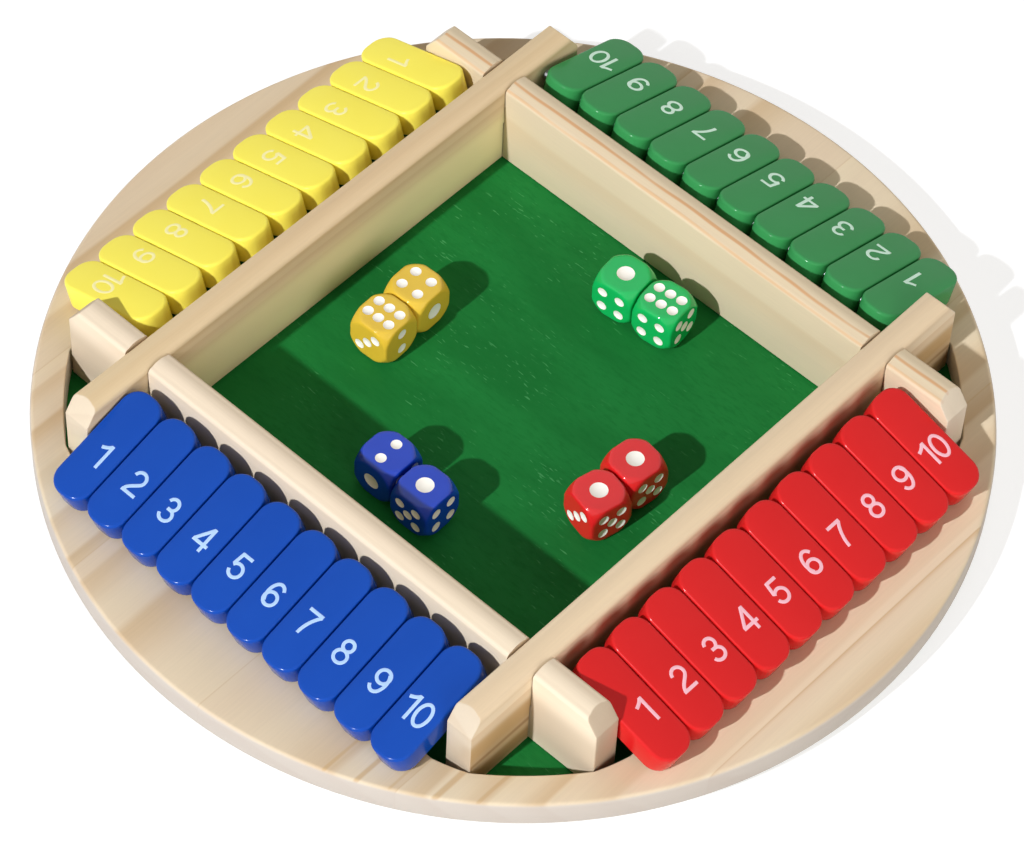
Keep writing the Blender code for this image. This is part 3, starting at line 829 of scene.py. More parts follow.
@dataclass
class PineRing:
    """The round pine ring with its square, round-cornered hole."""

    radius: float = 150.01 * MM
    hole_radius: float = 139.41 * MM
    hole_half: float = 114.5 * MM
    base: float = 3.3 * MM
    top: float = 13.6 * MM
    top_round: float = 1.5 * MM
    foot_round: float = 1.5 * MM
    kink_round: float = 3.0 * MM
    lip_round: float = 0.5 * MM
    facets: int = 192
    finish: PineFinish = PineFinish(
        "ring_pine", (228, 211, 182), (198, 164, 120), (220, 197, 170), turn=0.0,
        trunk=(0.0, 0.012, 0.055), spacing=0.0105, waviness=0.009, latewood=0.75,
        blush_share=0.6, boards=0.062, end_grain=(194, 186, 180), end_axis=(0.0, 0.0, 1.0),
        end_share=0.85,
        lines=(
            GrainLineOrLightBand((-125.0, -54.0, 13.6), 0.9, (206, 172, 126), 0.7, 2.0, 45.0),
            GrainLineOrLightBand((-120.0, -63.0, 13.6), 1.1, (204, 170, 124), 0.7, 2.0, 45.0),
            GrainLineOrLightBand((-115.0, -72.0, 13.6), 0.8, (204, 172, 128), 0.6, 2.0, 45.0),
            GrainLineOrLightBand((-110.0, -83.5, 13.6), 1.4, (202, 168, 122), 0.7, 2.0, 45.0),
            GrainLineOrLightBand((-105.0, -93.6, 13.6), 0.9, (200, 166, 122), 0.6, 2.0, 45.0),
            GrainLineOrLightBand((80.0, -103.0, 13.6), 0.6, (206, 176, 124), 0.6, 3.0, 40.0),
        ),
    )

    def build(self) -> Piece:
        """Model the ring and return it, dressed and riding on the board."""
        low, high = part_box("ring")
        self.radius = (high[0] - low[0]) / 2
        self.base, self.top = low[2], high[2]
        item = self._blank()
        self._shape_hole(item)
        self._raise(item)
        Bench.smooth(item, 40.0)
        item.data.materials.append(self.finish.build())
        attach(item, "board")
        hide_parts("ring")
        return item

    def _blank(self) -> Piece:
        """Return two flat circles, the outer edge and the hole's."""
        Bench.clear()
        place = (0.0, 0.0, self.base)
        bpy.ops.mesh.primitive_circle_add(vertices=self.facets, radius=self.radius, location=place)
        outer = bpy.context.object
        Bench.settle(outer)
        Bench.clear()
        bpy.ops.mesh.primitive_circle_add(vertices=self.facets, radius=self.hole_radius, location=place)
        inner = bpy.context.object
        Bench.settle(inner)
        return Bench.join((outer, inner), "pine_ring")

    def _shape_hole(self, item: Piece) -> None:
        """Press the hole's circle flat on its four sides."""
        limit = self.hole_half
        hole = self.hole_radius + MM
        for axis in (0, 1):
            for side in (-1, 1):
                Bench.edit(item, "VERT")
                Bench.pick_points(
                    item, lambda co: co.to_2d().length < hole and co[axis] * side > limit
                )
                pivot = [0.0, 0.0, self.base]
                pivot[axis] = side * limit
                size = [1.0, 1.0, 1.0]
                size[axis] = 0.0
                bpy.ops.transform.resize(value=size, center_override=pivot)
                Bench.close()
        half_angle = math.acos(limit / self.hole_radius)
        kinks = []
        for quarter in range(4):
            for side in (-1, 1):
                angle = math.pi / 2 * quarter + side * half_angle
                kinks.append(Vector((math.cos(angle), math.sin(angle))) * self.hole_radius)
        Bench.edit(item, "VERT")
        Bench.pick_points(
            item,
            lambda co: co.to_2d().length < hole
            and min((co.to_2d() - kink).length for kink in kinks) < self.kink_round,
        )
        bpy.ops.mesh.vertices_smooth(factor=0.5, repeat=6, zaxis=False)
        Bench.close()

    def _raise(self, item: Piece) -> None:
        """Bridge the two outlines, raise them to a plate and round its edges."""
        Bench.edit(item, "EDGE")
        bpy.ops.mesh.select_all(action="SELECT")
        bpy.ops.mesh.bridge_edge_loops()
        bpy.ops.mesh.select_all(action="SELECT")
        lift = (0.0, 0.0, self.top - self.base)
        bpy.ops.mesh.extrude_region_move(TRANSFORM_OT_translate={"value": lift})
        bpy.ops.mesh.select_all(action="SELECT")
        bpy.ops.mesh.normals_make_consistent(inside=False)
        self._round_rim(item, self.top, self.top_round, 6)
        self._round_rim(item, self.base, self.foot_round, 3)
        self._round_lip(item)
        Bench.close()

    def _round_rim(self, item: Piece, height: float, width: float, steps: int) -> None:
        """Round one outer rim of the open plate."""
        near = 0.02 * MM
        bpy.ops.mesh.select_all(action="DESELECT")
        Bench.pick_edges(
            item,
            lambda a, b: all(
                abs(co.z - height) < near and abs(co.to_2d().length - self.radius) < near for co in (a, b)
            ),
        )
        bpy.ops.mesh.bevel(offset=width, segments=steps, profile=0.5, affect="EDGES")

    def _round_lip(self, item: Piece) -> None:
        """Break the hole's upper edge."""
        near = 0.02 * MM
        bpy.ops.mesh.select_all(action="DESELECT")
        limit = self.hole_radius + 0.5 * MM

        def on_lip(first: Vector, second: Vector) -> bool:
            """Tell whether an edge lies along the hole's upper edge."""
            middle = (first + second) / 2
            return (
                all(abs(co.z - self.top) < near and co.to_2d().length < limit for co in (first, second))
                and middle.to_2d().length < limit
            )

        Bench.pick_edges(item, on_lip)
        bpy.ops.mesh.bevel(offset=self.lip_round, segments=3, profile=0.5, affect="EDGES")


@dataclass
class RailSpec:
    """One rail's name, turn, lap and board."""

    node: str
    turn: float
    lap: Lap
    finish: PineFinish


@dataclass
class Rails:
    """The four rails with eased edges and crowned tops, half-lapped where they cross."""

    half_length: float = 110.18 * MM
    middle: float = 79.8 * MM
    thickness: float = 9.6 * MM
    base: float = 3.3 * MM
    height: float = 33.6 * MM
    shoulder: float = 1.8 * MM
    crown: float = 0.7 * MM
    crown_steps: int = 4
    end_run: float = 4.9 * MM
    end_rise: float = 6.9 * MM
    lap_gap: float = 0.3 * MM
    edge_round: float = 0.35 * MM
    specs: list[RailSpec] = field(default_factory=list)

    def __post_init__(self) -> None:
        """Choose each rail's board, with bands of painted light or shade on the back, left and front rails.
        """
        self.specs = [
            RailSpec("long_rail_back", 0.0, Lap.FROM_BELOW, PineFinish(
                "rail_pine_back", (222, 198, 160), (190, 152, 106), (218, 190, 154), turn=0.0,
                trunk=(0.3, -0.052, 0.03), spacing=0.0043, waviness=0.006, latewood=0.3,
                blush_share=0.5, lines=(
                    # Painted light: a pale band over the whole inner face, which faces away from the key
                    # light, to brighten it.
                    GrainLineOrLightBand((0.0, 73.5, 15.0), 15.0, (244, 230, 180), 0.9, 2.0),
                ))),
            RailSpec("cross_rail_left", 90.0, Lap.FROM_ABOVE, PineFinish(
                "rail_pine_left", (236, 219, 194), (220, 198, 168), (232, 212, 190), turn=90.0,
                trunk=(0.1, -0.05, 0.06), spacing=0.0055, waviness=0.006, latewood=0.22,
                blush_share=0.5, end_grain=(172, 150, 126), end_axis=(0.0, 1.0, 0.0), lines=(
                    # Painted shade: a darker band over the whole outer face, which faces the key light, to
                    # dim it.
                    GrainLineOrLightBand((0.0, -86.5, 16.0), 16.0, (206, 188, 164), 0.9, 2.0),
                ))),
            RailSpec("long_rail_front", 180.0, Lap.FROM_BELOW, PineFinish(
                "rail_pine_front", (234, 214, 184), (206, 170, 126), (228, 206, 176), turn=0.0,
                trunk=(-0.2, 0.06, 0.05), spacing=0.006, waviness=0.006, latewood=0.45,
                blush_share=0.45, end_grain=(198, 186, 170), lines=(
                    # Painted shade: the first, wide band darkens the whole outer face; the three narrower
                    # dark bands are growth streaks, laid heavy so that they deepen that face too.
                    GrainLineOrLightBand((0.0, -86.5, 15.0), 15.0, (190, 160, 118), 0.8, 2.0),
                    GrainLineOrLightBand((0.0, -85.5, 7.0), 5.0, (160, 120, 74), 0.75, 2.0),
                    GrainLineOrLightBand((0.0, -85.5, 14.0), 1.6, (150, 108, 62), 0.7, 2.0),
                    GrainLineOrLightBand((0.0, -85.5, 21.0), 6.0, (190, 154, 104), 0.7, 2.0),
                ))),
            RailSpec("cross_rail_right", 270.0, Lap.FROM_ABOVE, PineFinish(
                "rail_pine_right", (220, 202, 172), (200, 166, 126), (214, 196, 170), turn=90.0,
                trunk=(0.0, 0.09, 0.02), spacing=0.0066, waviness=0.008, latewood=0.3,
                blush_share=0.5, end_axis=(0.0, 1.0, 0.0), lines=(
                    GrainLineOrLightBand((0.0, 79.0, 36.8), 0.9, (204, 146, 92), 0.75, 3.0),
                    GrainLineOrLightBand((0.0, 75.9, 35.6), 0.8, (206, 156, 104), 0.6, 1.6),
                ))),
        ]

    def build(self) -> list[Piece]:
        """Model the four rails and return them, dressed."""
        blank = self._blank()
        rails = []
        for spec in self.specs:
            rail = Bench.copy(blank, f"crowned_{spec.node}")
            self._cut_laps(rail, spec.lap)
            rotation = Matrix.Rotation(math.radians(spec.turn), 4, "Z")
            Bench.place(rail, rotation @ Matrix.Translation((0.0, self.middle, self.base)))
            Bench.smooth(rail, 30.0)
            rail.data.materials.append(spec.finish.build())
            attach(rail, "board")
            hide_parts(spec.node)
            rails.append(rail)
        Bench.remove(blank)
        return rails

    def _blank(self) -> Piece:
        """Return a rail along X with its top crowned and its ends sliced."""
        half = self.thickness / 2
        top = self.height - self.crown
        item = Bench.block("rail_blank", (-self.half_length, -half, 0.0), (self.half_length, half, top))
        near = 0.01 * MM
        Bench.edit(item)
        Bench.pick_edges(
            item, lambda a, b: min(a.z, b.z) > top - near and abs(a.y - b.y) < near
        )
        bpy.ops.mesh.bevel(offset=self.shoulder, segments=6, profile=0.5, affect="EDGES")
        self._crown(item, top)
        for side in (-1, 1):
            corner = (side * self.half_length, 0.0, self.height - self.end_rise)
            Bench.slice(corner, (side * self.end_rise, 0.0, self.end_run), True, True)
        Bench.close()
        Bench.round_edges(item, self.edge_round, 3, 28.0)
        return item

    def _crown(self, item: Piece, top: float) -> None:
        """Raise the middle of an open rail's flat top into a slight crown.

        Args:
            item: The rail, open for editing.
            top: The height of its flat top.
        """
        flat = self.thickness / 2 - self.shoulder
        near = 0.01 * MM
        shares = [step / self.crown_steps for step in range(1 - self.crown_steps, self.crown_steps)]
        for share in shares:
            Bench.slice((0.0, flat * share, 0.0), (0.0, 1.0, 0.0), False, False)
        for share in shares:
            across = flat * share
            bpy.ops.mesh.select_mode(type="VERT")
            bpy.ops.mesh.select_all(action="DESELECT")
            Bench.pick_points(item, lambda co: co.z > top - near and abs(co.y - across) < near)
            bpy.ops.transform.translate(value=(0.0, 0.0, self.crown * (1 - share**2)))

    def _cut_laps(self, rail: Piece, lap: Lap) -> None:
        """Cut the two laps of a rail that still lies along X."""
        half = self.thickness / 2 + self.lap_gap
        middle = self.height / 2
        low, high = (middle - self.lap_gap / 2, self.height + MM)
        if lap is Lap.FROM_BELOW:
            low, high = (-MM, middle + self.lap_gap / 2)
        for side in (-1, 1):
            centre = side * self.middle
            cutter = Bench.block("lap_cutter", (centre - half, -0.02, low), (centre + half, 0.02, high))
            Bench.cut(rail, cutter)


@dataclass
class Board:
    """The still part of the game: panel, ring, rails and rods."""

    ring: PineRing = field(default_factory=PineRing)
    rails: Rails = field(default_factory=Rails)
    stain: StainFinish = StainFinish()
    steel: SteelFinish = SteelFinish()

    def build(self, nodes: dict[str, Piece]) -> None:
        """Build the ring and the rails, and finish the panel and the rods.

        Args:
            nodes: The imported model's nodes by name.
        """
        ring = self.ring.build()
        LOG.info("ring: %d faces", len(ring.data.polygons))
        for rail in self.rails.build():
            LOG.info("%s: %d faces", rail.name, len(rail.data.polygons))
        self._finish(nodes["floor_panel"], self.stain.build())
        steel = self.steel.build()
        for row in Row:
            self._finish(nodes[f"rod_{row.value}"], steel)
        LOG.info("panel and rods finished")

    @staticmethod
    def _finish(node: Piece, material: Material) -> None:
        """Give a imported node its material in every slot."""
        for slot in node.material_slots:
            slot.material = material


# Numbered tiles


@dataclass
class Numerals:
    """Draws plain upright numerals as flat, slightly domed ink strokes."""

    height: float = 8.7 * MM
    stroke: float = 1.12 * MM
    rise: float = 0.07 * MM
    steps: int = 20

    def _arc(self, middle: Point2, reach: Point2, start: float, end: float) -> list[Point2]:
        """Return points along an ellipse between two angles in degrees."""
        count = max(4, round(self.steps * abs(end - start) / 360) * 2)
        points = []
        for step in range(count + 1):
            angle = math.radians(start + (end - start) * step / count)
            points.append((middle[0] + reach[0] * math.cos(angle), middle[1] + reach[1] * math.sin(angle)))
        return points

    @staticmethod
    def _sweep(first: Point2, pull: Point2, push: Point2, last: Point2) -> list[Point2]:
        """Return points along a bent line with two handles."""
        points = []
        for step in range(11):
            t = step / 10
            weights = ((1 - t) ** 3, 3 * t * (1 - t) ** 2, 3 * t * t * (1 - t), t**3)
            x = sum(w * p[0] for w, p in zip(weights, (first, pull, push, last)))
            y = sum(w * p[1] for w, p in zip(weights, (first, pull, push, last)))
            points.append((x, y))
        return points

    def strokes(self, digit: int) -> list[list[Point2]]:
        """Return a digit's strokes, in heights of one, about its own middle.

        Args:
            digit: The digit from 0 to 9.

        Returns:
            The centre lines of its strokes.
        """
        foot = self.stroke / self.height / 2
        head = 1.0 - foot
        six = [
            self._arc((0.005, 0.315), (0.25, 0.252), 90, 450),
            self._arc((0.03, 0.5), (0.278, 0.437), 38, 232),
        ]
        drawn = {
            0: [self._arc((0.0, 0.5), (0.255, 0.437), 90, 450)],
            1: [
                [(0.15, 0.0), (0.15, 1.0)],
                self._sweep((0.13, 0.96), (0.06, 0.86), (-0.08, 0.79), (-0.21, 0.745)),
            ],
            2: [
                self._arc((-0.005, 0.685), (0.245, 0.252), 172, -8)
                + self._sweep((0.236, 0.63), (0.19, 0.44), (-0.22, 0.33), (-0.255, foot)),
                [(-0.32, foot), (0.315, foot)],
            ],
            3: [
                self._arc((-0.015, 0.72), (0.21, 0.217), 168, -80),
                self._arc((0.0, 0.293), (0.25, 0.23), 80, -168),
                [(-0.11, 0.515), (0.03, 0.515)],
            ],
            4: [
                [(-0.345, 0.29), (0.335, 0.29)],
                [(0.15, 0.0), (0.15, 1.0)],
                [(0.13, 0.955), (-0.30, 0.305)],
            ],
            5: [
                [(-0.18, head), (0.265, head)],
                [(-0.158, 0.985), (-0.232, 0.48)],
                self._arc((0.0, 0.322), (0.255, 0.262), 152, -165),
            ],
            6: six,
            7: [
                [(-0.31, head), (0.31, head)],
                self._sweep((0.27, 0.91), (0.09, 0.72), (-0.08, 0.36), (-0.09, 0.0)),
            ],
            8: [
                self._arc((0.0, 0.735), (0.205, 0.202), 90, 450),
                self._arc((0.0, 0.296), (0.252, 0.234), 90, 450),
            ],
            9: [[(-x, 1.0 - y) for x, y in line] for line in six],
        }
        return drawn[digit]

    def lines(self, number: int) -> list[list[Point2]]:
        """Return the strokes of a whole number about its middle."""
        if number < 10:
            return self.strokes(number)
        one = [[(x - 0.365, y) for x, y in line] for line in self.strokes(1)]
        nought = [[(x + 0.25, y) for x, y in line] for line in self.strokes(0)]
        return one + nought

    def build(self, number: int) -> Piece:
        """Model a number lying flat, its top towards +Y.

        Args:
            number: The number from 1 to 10.

        Returns:
            The number as a mesh about its middle.
        """
        Bench.clear()
        bpy.ops.curve.primitive_bezier_curve_add()
        item = bpy.context.object
        item.name = f"numeral_{number:02d}"
        curve = item.data
        curve.splines.clear()
        curve.dimensions = "3D"
        for line in self.lines(number):
            closed = math.dist(line[0], line[-1]) < 1e-6
            points = line[:-1] if closed else line
            spline = curve.splines.new("POLY")
            spline.points.add(len(points) - 1)
            for knot, (x, y) in zip(spline.points, points):
                knot.co = (x * self.height, (y - 0.5) * self.height, 0.0, 1.0)
            spline.use_cyclic_u = closed
        curve.bevel_depth = self.stroke / 2
        curve.bevel_resolution = 2
        curve.use_fill_caps = True
        Bench.take(item)
        bpy.ops.object.convert(target="MESH")
        item = bpy.context.object
        item.scale = (1.0, 1.0, 2 * self.rise / self.stroke)
        Bench.settle(item)
        Bench.edit(item, "VERT")
        Bench.slice((0.0, 0.0, -0.4 * self.rise), (0.0, 0.0, -1.0), False, True)
        Bench.close()
        return item


@dataclass(frozen=True)
class TilePaint:
    """A row's enamel and ink, and where its numbers sit."""

    enamel: CoatFinish
    ink: CoatFinish
    number_reach: float
    number_shifts: tuple[float, ...]


@dataclass
class TileRows:
    """Four rows of ten rounded tiles, each on its row's rod."""

    length: float = 40.5 * MM
    width: float = 14.45 * MM
    thickness: float = 9.6 * MM
    corner: float = 5.997 * MM
    edge: float = 1.0 * MM
    from_end: float = 6.5 * MM
    bore: float = 3.3 * MM
    pitch: float = 14.8 * MM
    shift: float = -0.705 * MM
    rod_offset: float = 94.78 * MM
    rod_height: float = 28.5 * MM
    slope: float = 17.689
    numerals: Numerals = field(default_factory=Numerals)
    paints: dict[Row, TilePaint] = field(default_factory=dict)

    def __post_init__(self) -> None:
        """Mix each row's paints."""
        self.paints = {
            Row.YELLOW: TilePaint(
                enamel("yellow", (254, 240, 96), (253, 236, 82), 0.0, 0.3),
                ink("number_ink_yellow", (254, 245, 178), (252, 241, 160)),
                17.9 * MM, (1.3, 1.4, 1.4, 0.7, 0.3, -0.4, -0.8, -1.0, -1.4, -1.0)),
            Row.GREEN: TilePaint(
                enamel("green", (56, 144, 81), (46, 137, 71), 90.0, 0.16),
                ink("number_ink_green", (208, 240, 222), (192, 230, 210)),
                17.6 * MM, (1.0, 2.0, 1.5, 1.2, 0.7, 0.6, 0.1, 0.0, -0.2, -0.2)),
            Row.BLUE: TilePaint(
                enamel("blue", (14, 72, 171), (10, 66, 164), 0.0, 0.16),
                ink("number_ink_blue", (176, 206, 244), (162, 194, 238)),
                17.2 * MM, (1.0, 1.4, 0.8, 0.8, 0.7, 0.3, 0.0, -0.2, -0.3, -0.2)),
            Row.RED: TilePaint(
                enamel("red", (212, 33, 34), (206, 29, 31), 90.0, 0.18),
                ink("number_ink_red", (244, 188, 200), (238, 176, 190)),
                17.6 * MM, (1.0, 2.0, 1.5, 1.2, 0.7, 0.6, 0.1, 0.0, -0.2, -0.2)),
        }

    def build(self) -> list[Piece]:
        """Model the tile once, number it, and lay out the four rows."""
        blank = self._blank()
        tiles = []
        for number in range(1, 11):
            numeral = self.numerals.build(number)
            for row, paint in self.paints.items():
                tiles.append(self._tile(blank, numeral, row, paint, number))
            Bench.remove(numeral)
        Bench.remove(blank)
        return tiles

    def _blank(self) -> Piece:
        """Return a bare tile about its rod's axis, its length along X."""
        half_width, half_thick = self.width / 2, self.thickness / 2
        item = Bench.block(
            "tile_blank",
            (-self.from_end, -half_width, -half_thick),
            (self.length - self.from_end, half_width, half_thick),
        )
        near = 0.01 * MM
        Bench.edit(item)
        Bench.pick_edges(item, lambda a, b: (a - b).to_2d().length < near)
        bpy.ops.mesh.bevel(offset=self.corner, segments=9, profile=0.5, affect="EDGES")
        bpy.ops.mesh.select_all(action="DESELECT")
        Bench.pick_edges(
            item, lambda a, b: abs(a.z - b.z) < near and abs(abs(a.z) - half_thick) < near
        )
        bpy.ops.mesh.bevel(offset=self.edge, segments=4, profile=0.5, affect="EDGES")
        Bench.close()
        Bench.clear()
        bpy.ops.mesh.primitive_cylinder_add(
            vertices=20, radius=self.bore / 2, depth=2 * self.width, rotation=(math.pi / 2, 0.0, 0.0)
        )
        drill = bpy.context.object
        Bench.settle(drill)
        Bench.cut(item, drill)
        Bench.smooth(item, 35.0)
        return item

    def _tile(self, blank: Piece, numeral: Piece, row: Row, paint: TilePaint,
              number: int) -> Piece:
        """Copy, number, place and dress one tile.

        Args:
            blank: The bare tile.
            numeral: Its number, lying flat.
            row: The row that it belongs to.
            paint: The row's paints.
            number: The tile's number.

        Returns:
            The tile, riding on its own hinge.
        """
        name = f"{row.value}_{number:02d}"
        body = Bench.copy(blank, f"tile_body_{name}")
        body.data.materials.append(self._material(paint.enamel))
        mark = Bench.copy(numeral, f"tile_number_{name}")
        mark.data.materials.append(self._material(paint.ink))
        across = paint.number_shifts[number - 1] * MM
        lie = Matrix.Translation((paint.number_reach, across, self.thickness / 2))
        Bench.place(mark, lie @ Matrix.Rotation(math.pi / 2, 4, "Z"))
        Bench.smooth(mark, 60.0)
        tile = Bench.join((body, mark), f"numbered_tile_{name}")
        Bench.place(tile, self._seat(row, number))
        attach(tile, f"tile_{name}")
        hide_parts(f"tile_{name}")
        return tile

    def _seat(self, row: Row, number: int) -> Matrix:
        """Return a tile's frame at rest on the ring."""
        along = (number - 5.5) * self.pitch + self.shift
        place = Matrix.Translation((self.rod_offset, along, self.rod_height))
        turn = Matrix.Rotation(math.radians(row.turn), 4, "Z")
        return turn @ place @ Matrix.Rotation(math.radians(self.slope), 4, "Y")

    @staticmethod
    def _material(finish: CoatFinish) -> Material:
        """Return a finish's material, built once."""
        return bpy.data.materials.get(finish.name) or finish.build()


# Dice


@dataclass(frozen=True)
class DieLie:
    """How one die lies: its node, its turn, its top and its side towards -X."""

    node: str
    turn: float
    top: DieFace
    left: DieFace


@dataclass
class Dice:
    """Eight plastic dice with sunk, painted pips."""

    size: float = 15.5 * MM
    edge_round: float = 0.85 * MM
    ball: float = 10.93 * MM
    grain: float = 0.3 * MM
    softening: int = 20
    pip_radius: float = 1.8 * MM
    pip_depth: float = 0.5 * MM
    ace_radius: float = 2.9 * MM
    ace_depth: float = 0.7 * MM
    square: float = 3.255 * MM
    pair: float = 3.519 * MM
    six_long: float = 4.325 * MM
    six_wide: float = 2.589 * MM
    pips: CoatFinish = ink("pip_paint", (250, 247, 240), (240, 234, 224), 0.3)
    lies: tuple[DieLie, ...] = (
        DieLie("die_yellow_1", 2.1, DieFace.SIX, DieFace.THREE),
        DieLie("die_yellow_2", 2.1, DieFace.FOUR, DieFace.TWO),
        DieLie("die_green_1", 6.4, DieFace.SIX, DieFace.FOUR),
        DieLie("die_green_2", 6.2, DieFace.ONE, DieFace.FOUR),
        DieLie("die_blue_1", 1.2, DieFace.ONE, DieFace.FIVE),
        DieLie("die_blue_2", 1.2, DieFace.TWO, DieFace.ONE),
        DieLie("die_red_1", -12.9, DieFace.ONE, DieFace.THREE),
        DieLie("die_red_2", -7.5, DieFace.ONE, DieFace.THREE),
    )
    plastics: dict[str, CoatFinish] = field(default_factory=lambda: {
        "yellow": plastic("yellow", (226, 190, 60), (216, 176, 46)),
        "green": plastic("green", (18, 182, 92), (14, 168, 82)),
        "blue": plastic("blue", (20, 64, 188), (16, 54, 172)),
        "red": plastic("red", (224, 34, 38), (212, 26, 30)),
    })

    def build(self) -> list[Piece]:
        """Model one die and lay out all eight."""
        blank = self._blank()
        paint = self.pips.build()
        dressed = {colour: finish.build() for colour, finish in self.plastics.items()}
        dice = []
        for lie in self.lies:
            colour = lie.node.split("_")[1]
            die = Bench.copy(blank, f"pipped_{lie.node}")
            die.data.materials[0] = dressed[colour]
            die.data.materials[1] = paint
            low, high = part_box(lie.node)
            middle = (Vector(low) + Vector(high)) / 2
            turn = Matrix.Rotation(math.radians(lie.turn), 4, "Z")
            Bench.place(die, Matrix.Translation(middle) @ turn @ self._rolled(lie.top, lie.left))
            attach(die, lie.node)
            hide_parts(lie.node)
            dice.append(die)
        Bench.remove(blank)
        return dice

    @staticmethod
    def _directions() -> dict[DieFace, Vector]:
        """Return where each number points on a die with its one on top."""
        up, right, back = Vector((0, 0, 1)), Vector((1, 0, 0)), Vector((0, 1, 0))
        return {
            DieFace.ONE: up, DieFace.TWO: right, DieFace.THREE: back,
            DieFace.FOUR: -back, DieFace.FIVE: -right, DieFace.SIX: -up,
        }

    def _rolled(self, top: DieFace, left: DieFace) -> Matrix:
        """Return the turn that brings one number up and another towards -X."""
        directions = self._directions()
        up, side = directions[top], directions[left]
        return Matrix((-side, side.cross(up), up)).to_4x4()

    def _spot(self, number: DieFace, place: Point2) -> Matrix:
        """Return a pip's frame on a face: its Z axis points out of the die.

        Args:
            number: The face.
            place: The pip's middle on that face.

        Returns:
            The frame about the die's middle.
        """
        directions = self._directions()
        first = directions[DieFace.TWO]
        if number in (DieFace.TWO, DieFace.FIVE):
            first = directions[DieFace.THREE]
        second = directions[DieFace.ONE]
        if number in (DieFace.ONE, DieFace.SIX):
            second = directions[DieFace.THREE]
        out = directions[number]
        middle = first * place[0] + second * place[1] + out * (self.size / 2)
        return Matrix.Translation(middle) @ out.to_track_quat("Z", "Y").to_matrix().to_4x4()

    def _places(self) -> dict[DieFace, list[Point2]]:
        """Return the pips' places on each face."""
        diagonal = [(self.square, -self.square), (-self.square, self.square)]
        corners = diagonal + [(self.square, self.square), (-self.square, -self.square)]
        steps = [(a * self.six_long, b * self.six_wide) for a in (-1, 0, 1) for b in (-1, 1)]
        return {
            DieFace.ONE: [(0.0, 0.0)],
            DieFace.TWO: [(0.0, self.pair), (0.0, -self.pair)],
            DieFace.THREE: [(0.0, 0.0)] + diagonal,
            DieFace.FOUR: corners,
            DieFace.FIVE: [(0.0, 0.0)] + corners,
            DieFace.SIX: steps,
        }

    def _blank(self) -> Piece:
        """Return a die about its middle, its one on +Z and its two on +X."""
        half = self.size / 2
        item = Bench.block("die_blank", (-half,) * 3, (half,) * 3)
        Bench.round_edges(item, self.edge_round, 4, 30.0)
        Bench.clear()
        bpy.ops.mesh.primitive_uv_sphere_add(segments=96, ring_count=48, radius=self.ball)
        Bench.cut(item, bpy.context.object, keep_inside=True)
        self._soften(item)
        item.data.materials.append(bpy.data.materials.new("die_blank_body"))
        item.data.materials.append(bpy.data.materials.new("die_blank_pip"))
        for number, places in self._places().items():
            radius, depth = self.pip_radius, self.pip_depth
            if number is DieFace.ONE:
                radius, depth = self.ace_radius, self.ace_depth
            for place in places:
                self._sink(item, self._spot(number, place), radius, depth)
        self._shade(item)
        return item

    def _soften(self, item: Piece) -> None:
        """Wear the edges that the ball leaves on a die."""
        Bench.take(item)
        change = item.modifiers.new("even_mesh", "REMESH")
        change.mode = "VOXEL"
        change.voxel_size = self.grain
        bpy.ops.object.modifier_apply(modifier=change.name)
        change = item.modifiers.new("worn_edges", "SMOOTH")
        change.factor = 0.5
        change.iterations = self.softening
        bpy.ops.object.modifier_apply(modifier=change.name)

    @staticmethod
    def _sink(item: Piece, frame: Matrix, radius: float, depth: float) -> None:
        """Sink one round, painted hollow into a die.

        Args:
            item: The die.
            frame: The pip's middle on its face, its Z axis pointing out.
            radius: The pip's radius on the face.
            depth: The hollow's depth.
        """
        ball = (radius**2 + depth**2) / (2 * depth)
        Bench.clear()
        bpy.ops.mesh.primitive_uv_sphere_add(segments=32, ring_count=64, radius=ball)
        cutter = bpy.context.object
        Bench.edit(cutter, "VERT")
        Bench.slice((0.0, 0.0, -0.55 * ball), (0.0, 0.0, 1.0), True, True)
        Bench.close()
        for slot in item.data.materials:
            cutter.data.materials.append(slot)
        for face in cutter.data.polygons:
            face.material_index = 1
        Bench.place(cutter, frame @ Matrix.Translation((0.0, 0.0, ball - depth)))
        Bench.cut(item, cutter)

    @staticmethod
    def _shade(item: Piece) -> None:
        """Shade the body softly and keep the pips' rims crisp."""
        Bench.edit(item, "EDGE")
        shape = bmesh.from_edit_mesh(item.data)
        for edge in shape.edges:
            painted = {face.material_index for face in edge.link_faces}
            edge.smooth = len(painted) < 2
        bmesh.update_edit_mesh(item.data)
        Bench.close()
        for face in item.data.polygons:
            face.use_smooth = True
        Bench.take(item)
        change = item.modifiers.new("flat_faces", "WEIGHTED_NORMAL")
        change.mode = "FACE_AREA"
        change.weight = 60
        change.keep_sharp = True
        bpy.ops.object.modifier_apply(modifier=change.name)


# Studio


